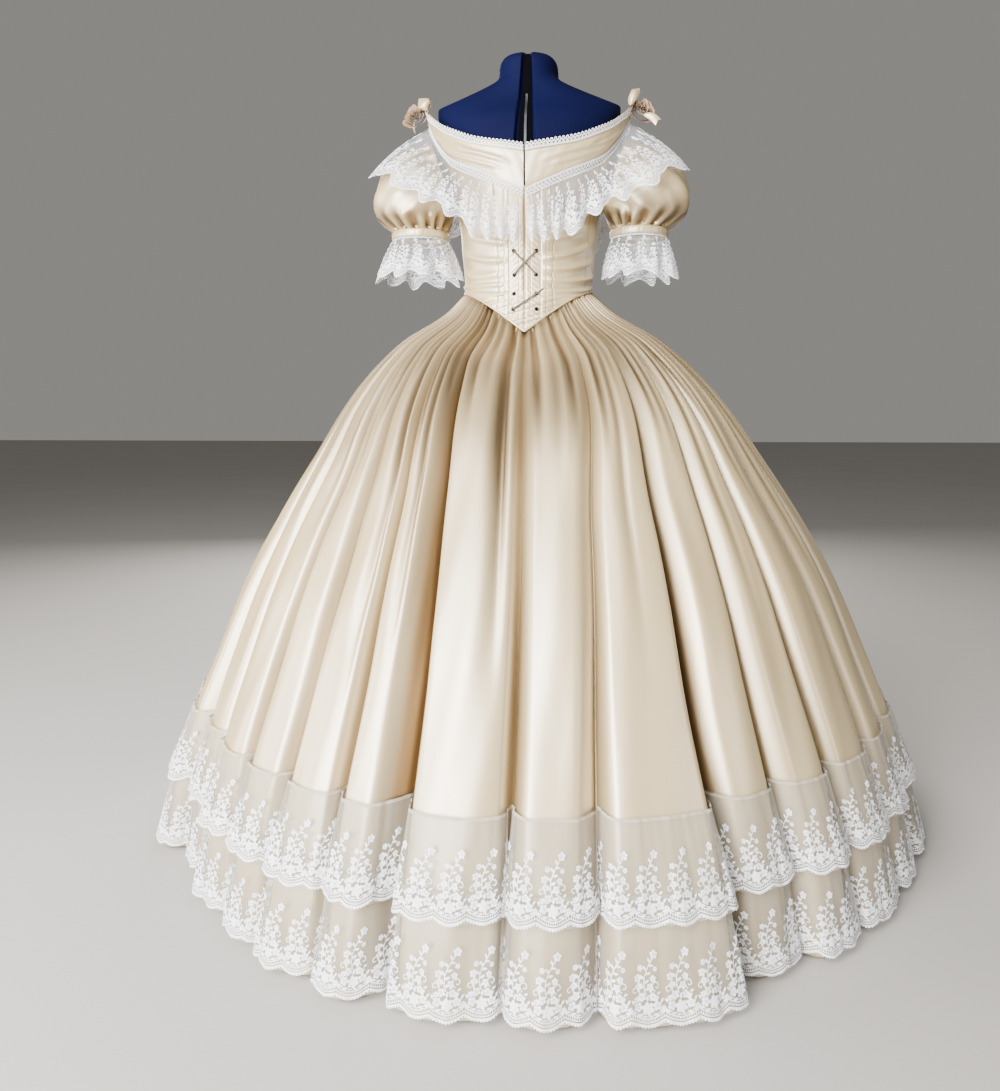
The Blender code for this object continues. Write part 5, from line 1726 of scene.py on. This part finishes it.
def build_rose(side, mirror):
    """A rose of one gathered ribbon wound from its heart outwards, on a flat base, with painted shade
    towards its base and a near-black ball at its heart that stands in for the shade deep inside.
    """
    centre, across, upward, facing = rose_frame(mirror)
    centre = centre + facing * ROSE_STAND
    shares = np.linspace(0.0, 1.0, 330)
    angle = shares * 2.0 * math.pi * ROSE_TURNS
    reach = 0.0030 + 0.0140 * shares**0.9
    lean = 0.2 + 0.95 * shares
    width = 0.0095 + 0.0030 * np.sin(angle * 2.3 + 0.5)
    rows = []
    for level in np.linspace(0.0, 1.0, 7):
        ruffle = 0.0022 * level**1.5 * np.sin(angle * 5.2 + 1.2 * np.sin(angle))
        out = reach + width * level * np.sin(lean) + ruffle * np.cos(lean)
        high = -0.002 - 0.006 * shares + width * level * np.cos(lean) + ruffle * np.sin(lean)
        spoke = across[None, :] * np.cos(angle)[:, None] + upward[None, :] * np.sin(angle)[:, None]
        rows.append(centre + spoke * out[:, None] + facing[None, :] * high[:, None])
    grid = np.array(rows)
    name = f"shoulder_rose_{side}"
    axis = (float(centre[0]), float(centre[1]))
    ribbon = lay_cloth(f"{name}_ribbon", name, grid, "taupe_ribbon", axis)
    # Painted shade, darkest where the ribbon meets the rose's base
    levels = np.linspace(0.0, 1.0, len(rows))[:, None]
    shade_folds(ribbon, np.broadcast_to((1.0 - levels) ** 1.3, grid.shape[:2]))
    bpy.ops.object.select_all(action="DESELECT")
    # Painted shade: a near-black ball in the rose's centre
    bpy.ops.mesh.primitive_uv_sphere_add(segments=20, ring_count=12, radius=ROSE_HEART_RADIUS)
    heart = bpy.context.object
    heart.name = f"{name}_heart"
    bpy.ops.object.shade_smooth()
    heart.data.materials.append(gown_material("rose_heart"))
    apply_frame(heart, centre + facing * 0.002, across, upward, facing)
    finish_piece(heart, ())


def ribbon_grid(path, half_width, crown, twist):
    """A ribbon along a path: its width at each point, and how far it arches across."""
    ahead = unit(np.gradient(path, axis=0))
    side = unit(np.cross(ahead, (0.0, 1.0, 0.25)))
    normal = np.cross(side, ahead)
    turned = side * np.cos(twist)[:, None] + normal * np.sin(twist)[:, None]
    raised = normal * np.cos(twist)[:, None] - side * np.sin(twist)[:, None]
    rows = []
    for share in np.linspace(-1.0, 1.0, RIBBON_COLUMNS):
        arch = crown * (1.0 - share * share)
        rows.append(path + turned * (half_width * share)[:, None] + raised * arch)
    return np.array(rows)


def bent_path(start, end, rise, steps):
    start = np.array(ROSE_CENTRE) + np.array(start)
    end = np.array(ROSE_CENTRE) + np.array(end)
    middle = (start + end) / 2.0 + np.array(rise)
    shares = np.linspace(0.0, 1.0, steps)[:, None]
    return start * (1.0 - shares) ** 2 + middle * 2.0 * shares * (1.0 - shares) + end * shares**2


def build_shoulder_ribbons(side, mirror):
    """A puffed ribbon loop that stands beside the rose, and a cut tail that hangs from it."""
    flip = flipped(mirror)
    steps = 34
    shares = np.linspace(0.0, 1.0, steps)
    out_path = bent_path(LOOP_START, LOOP_END[side], (0.000, 0.013, 0.002), steps)
    back_path = bent_path(LOOP_END[side], LOOP_START, (-0.004, -0.007, 0.000), steps)
    path = np.concatenate([out_path, back_path[1:]])
    both = np.linspace(0.0, 1.0, len(path))
    widening = (LOOP_HALF_WIDTH[side] - LOOP_ROOT_HALF_WIDTH) * np.sin(math.pi * both) ** 0.6
    grid = ribbon_grid(path, LOOP_ROOT_HALF_WIDTH + widening, 0.0040, 0.25 * np.sin(both * 5.0))
    lay_satin(f"ribbon_loop_{side}", grid * flip, None)
    path = bent_path(TAIL_START[side], TAIL_END[side], (0.0, 0.005, 0.005), steps)
    half = 0.0028 + 0.0046 * np.sqrt(shares)
    grid = ribbon_grid(path, half, 0.0022, 0.35 * np.sin(shares * 3.0))
    notch = 0.0035 * (1.0 - np.abs(np.linspace(-1.0, 1.0, grid.shape[0])))
    ahead = unit(path[-1] - path[-4])
    for back, column in enumerate(range(steps - 4, steps)):
        grid[:, column] -= ahead * notch[:, None] * (back + 1) / 4.0
    lay_satin(f"ribbon_tail_{side}", grid * flip, None)


# Light, floor and camera
def add_area_light(name, place, target, size, power, colour):
    bpy.ops.object.select_all(action="DESELECT")
    bpy.ops.object.light_add(type="AREA", location=place)
    light = bpy.context.object
    light.name = name
    light.data.shape = "RECTANGLE"
    light.data.size = size[0]
    light.data.size_y = size[1]
    light.data.energy = power
    light.data.color = colour
    aim = np.array(target) - np.array(place)
    flat = math.hypot(aim[0], aim[1])
    light.rotation_euler = (math.atan2(flat, -aim[2]), 0.0, math.atan2(-aim[0], aim[1]))


def build_floor():
    bpy.ops.object.select_all(action="DESELECT")
    bpy.ops.mesh.primitive_plane_add(size=FLOOR_SIZE, location=(0.0, 0.0, 0.0))
    floor = bpy.context.object
    floor.name = "studio_floor"
    bpy.ops.object.mode_set(mode="EDIT")
    bpy.ops.mesh.select_all(action="SELECT")
    bpy.ops.mesh.subdivide(number_cuts=3)
    bpy.ops.object.mode_set(mode="OBJECT")
    paint = Paint("studio_floor", {"Specular IOR Level": 0.3})
    cloud = paint.noise(paint.object_place(), 1.5, 3.0)
    paint.shade("Base Color", paint.mix(cloud, tone(FLOOR_PALE), tone(FLOOR_DARK)))
    paint.shade("Roughness", 0.7 + cloud * 0.1)
    floor.data.materials.append(paint.material)


def build_world(sizes):
    world = bpy.data.worlds.new("studio_air")
    world.use_nodes = True
    air = world.node_tree.nodes["Background"]
    air.inputs["Color"].default_value = tone(AIR_COLOUR)
    air.inputs["Strength"].default_value = sizes.air_strength
    bpy.context.scene.world = world


def build_camera():
    turn = math.radians(CAMERA_TURN)
    place = (-CAMERA_DISTANCE * math.sin(turn), CAMERA_DISTANCE * math.cos(turn), CAMERA_HEIGHT)
    bpy.ops.object.select_all(action="DESELECT")
    bpy.ops.object.camera_add(location=place)
    camera = bpy.context.object
    camera.name = "photo_camera"
    tilt = math.radians(90.0 - CAMERA_TILT)
    camera.rotation_euler = (tilt, 0.0, math.pi + turn)
    camera.data.lens = LENS_MM
    camera.data.sensor_width = SENSOR_WIDTH
    camera.data.shift_x = -AXIS_PIXEL_OFFSET / PHOTO_LONG_SIDE
    bpy.context.scene.camera = camera


# Sizes and colours that a user would change
def length_property(name, description, default):
    return bpy.props.FloatProperty(name=name, description=description, default=default, unit="LENGTH")


def colour_property(name, description, default):
    words = {"name": name, "description": description}
    return bpy.props.FloatVectorProperty(default=default, subtype="COLOR", **words)


class GownSizes(bpy.types.PropertyGroup):
    """Sizes of the gown's details."""

    scallop_pitch: length_property("Scallop pitch", "Width of one lace scallop on the flounces", 0.045)
    cord_diameter: length_property("Cord diameter", "Thickness of the lacing cord", 0.0031)
    fold_steps: bpy.props.IntProperty(
        name="Fold steps", description="Columns of the mesh in each skirt fold", default=32
    )
    air_strength: bpy.props.FloatProperty(
        name="Air strength", description="Brightness of the light from all round", default=0.40
    )


class GownColours(bpy.types.PropertyGroup):
    """Colours of the cloth, lace and trims."""

    satin: colour_property("Satin", "Ivory satin", (0.47, 0.372, 0.198))
    satin_warm: colour_property("Warm satin", "Satin where its tone turns warmer", (0.42, 0.302, 0.134))
    # Darker satin tone: the painted shade down the folds, and the colour of the weft streaks
    satin_shade_and_streak: colour_property("Deep satin", "Satin down in its folds", (0.20, 0.135, 0.068))
    organza: colour_property("Organza", "Sheer organza of the flounces", (0.42, 0.375, 0.29))
    organza_cover: bpy.props.FloatProperty(
        name="Organza cover", description="How much the organza hides", default=0.30, subtype="FACTOR"
    )
    lace: colour_property("Lace", "White embroidery and net", (0.74, 0.75, 0.78))
    cover: colour_property("Form cover", "Navy cover of the dress form", (0.0007, 0.0015, 0.021))
    cord: colour_property("Cord", "Lacing cord", (0.13, 0.10, 0.07))
    rose: colour_property("Rose", "Ribbon of the shoulder roses", (0.36, 0.235, 0.145))
    # Darker rose tone, which mottles the ribbon; at 0.35 of its brightness it is the painted shade towards
    # each rose's base
    rose_shade: colour_property("Rose shade", "Darker tone of the shoulder roses", (0.19, 0.11, 0.065))
    # Near-black: the painted shade deep in each rose's heart
    rose_heart: colour_property("Rose heart", "Dark heart of the shoulder roses", (0.045, 0.02, 0.012))


# Operators
class GOWN_OT_form(bpy.types.Operator):
    """Make the dress form's cover, back gap and rail"""

    bl_idname = "gown.form"
    bl_label = "Dress form"

    def execute(self, context):
        build_form()
        return {"FINISHED"}


class GOWN_OT_skirt(bpy.types.Operator):
    """Make the four satin panels of the skirt"""

    bl_idname = "gown.skirt"
    bl_label = "Skirt"

    def execute(self, context):
        build_skirt_panels()
        return {"FINISHED"}


class GOWN_OT_flounces(bpy.types.Operator):
    """Make the two organza flounces and their embroidery"""

    bl_idname = "gown.flounces"
    bl_label = "Flounces"

    def execute(self, context):
        build_flounces()
        return {"FINISHED"}


class GOWN_OT_bodice(bpy.types.Operator):
    """Make the bodice panels and their piping"""

    bl_idname = "gown.bodice"
    bl_label = "Bodice"

    def execute(self, context):
        build_bodice_panels()
        return {"FINISHED"}


class GOWN_OT_bertha(bpy.types.Operator):
    """Make the bertha with its narrow laces and its ruffle"""

    bl_idname = "gown.bertha"
    bl_label = "Bertha"

    def execute(self, context):
        build_bertha_band()
        build_bertha_ruffles()
        return {"FINISHED"}


class GOWN_OT_sleeves(bpy.types.Operator):
    """Make the puff sleeves, their bands and their lace cuffs"""

    bl_idname = "gown.sleeves"
    bl_label = "Sleeves"

    def execute(self, context):
        build_puff_sleeves()
        build_cuffs()
        return {"FINISHED"}


class GOWN_OT_lacing(bpy.types.Operator):
    """Make the eyelets and the lacing cord"""

    bl_idname = "gown.lacing"
    bl_label = "Lacing"

    def execute(self, context):
        build_lacing_cords()
        build_eyelets()
        return {"FINISHED"}


class GOWN_OT_shoulder_trims(bpy.types.Operator):
    """Make the roses and ribbons on the shoulders"""

    bl_idname = "gown.shoulder_trims"
    bl_label = "Shoulder trims"

    def execute(self, context):
        for side, mirror in SIDES:
            build_rose(side, mirror)
            build_shoulder_ribbons(side, mirror)
        return {"FINISHED"}


class GOWN_OT_stage(bpy.types.Operator):
    """Make the floor, the lights and the camera"""

    bl_idname = "gown.stage"
    bl_label = "Stage"

    def execute(self, context):
        build_floor()
        build_world(context.scene.gown_sizes)
        for row in LIGHT_ROWS:
            add_area_light(*row)
        build_camera()
        return {"FINISHED"}


STEPS = (
    GOWN_OT_stage,
    GOWN_OT_lacing,
    GOWN_OT_form,
    GOWN_OT_skirt,
    GOWN_OT_flounces,
    GOWN_OT_bodice,
    GOWN_OT_bertha,
    GOWN_OT_sleeves,
    GOWN_OT_shoulder_trims,
)


class GOWN_PT_panel(bpy.types.Panel):
    """The gown's steps, sizes and colours"""

    bl_idname = "GOWN_PT_panel"
    bl_label = "Ball Gown"
    bl_space_type = "VIEW_3D"
    bl_region_type = "UI"
    bl_category = "Gown"

    def draw(self, context):
        for step in STEPS:
            self.layout.operator(step.bl_idname)
        for group in (context.scene.gown_sizes, context.scene.gown_colours):
            for name in group.__annotations__:
                self.layout.prop(group, name)


CLASSES = (GownSizes, GownColours, *STEPS, GOWN_PT_panel)


def register():
    for item in CLASSES:
        bpy.utils.register_class(item)
    bpy.types.Scene.gown_sizes = bpy.props.PointerProperty(type=GownSizes)
    bpy.types.Scene.gown_colours = bpy.props.PointerProperty(type=GownColours)


def unregister():
    del bpy.types.Scene.gown_colours
    del bpy.types.Scene.gown_sizes
    for item in reversed(CLASSES):
        bpy.utils.unregister_class(item)


def main():
    register()
    for step in STEPS:
        group, name = step.bl_idname.split(".")
        getattr(getattr(bpy.ops, group), name)()


if __name__ == "__main__":
    main()
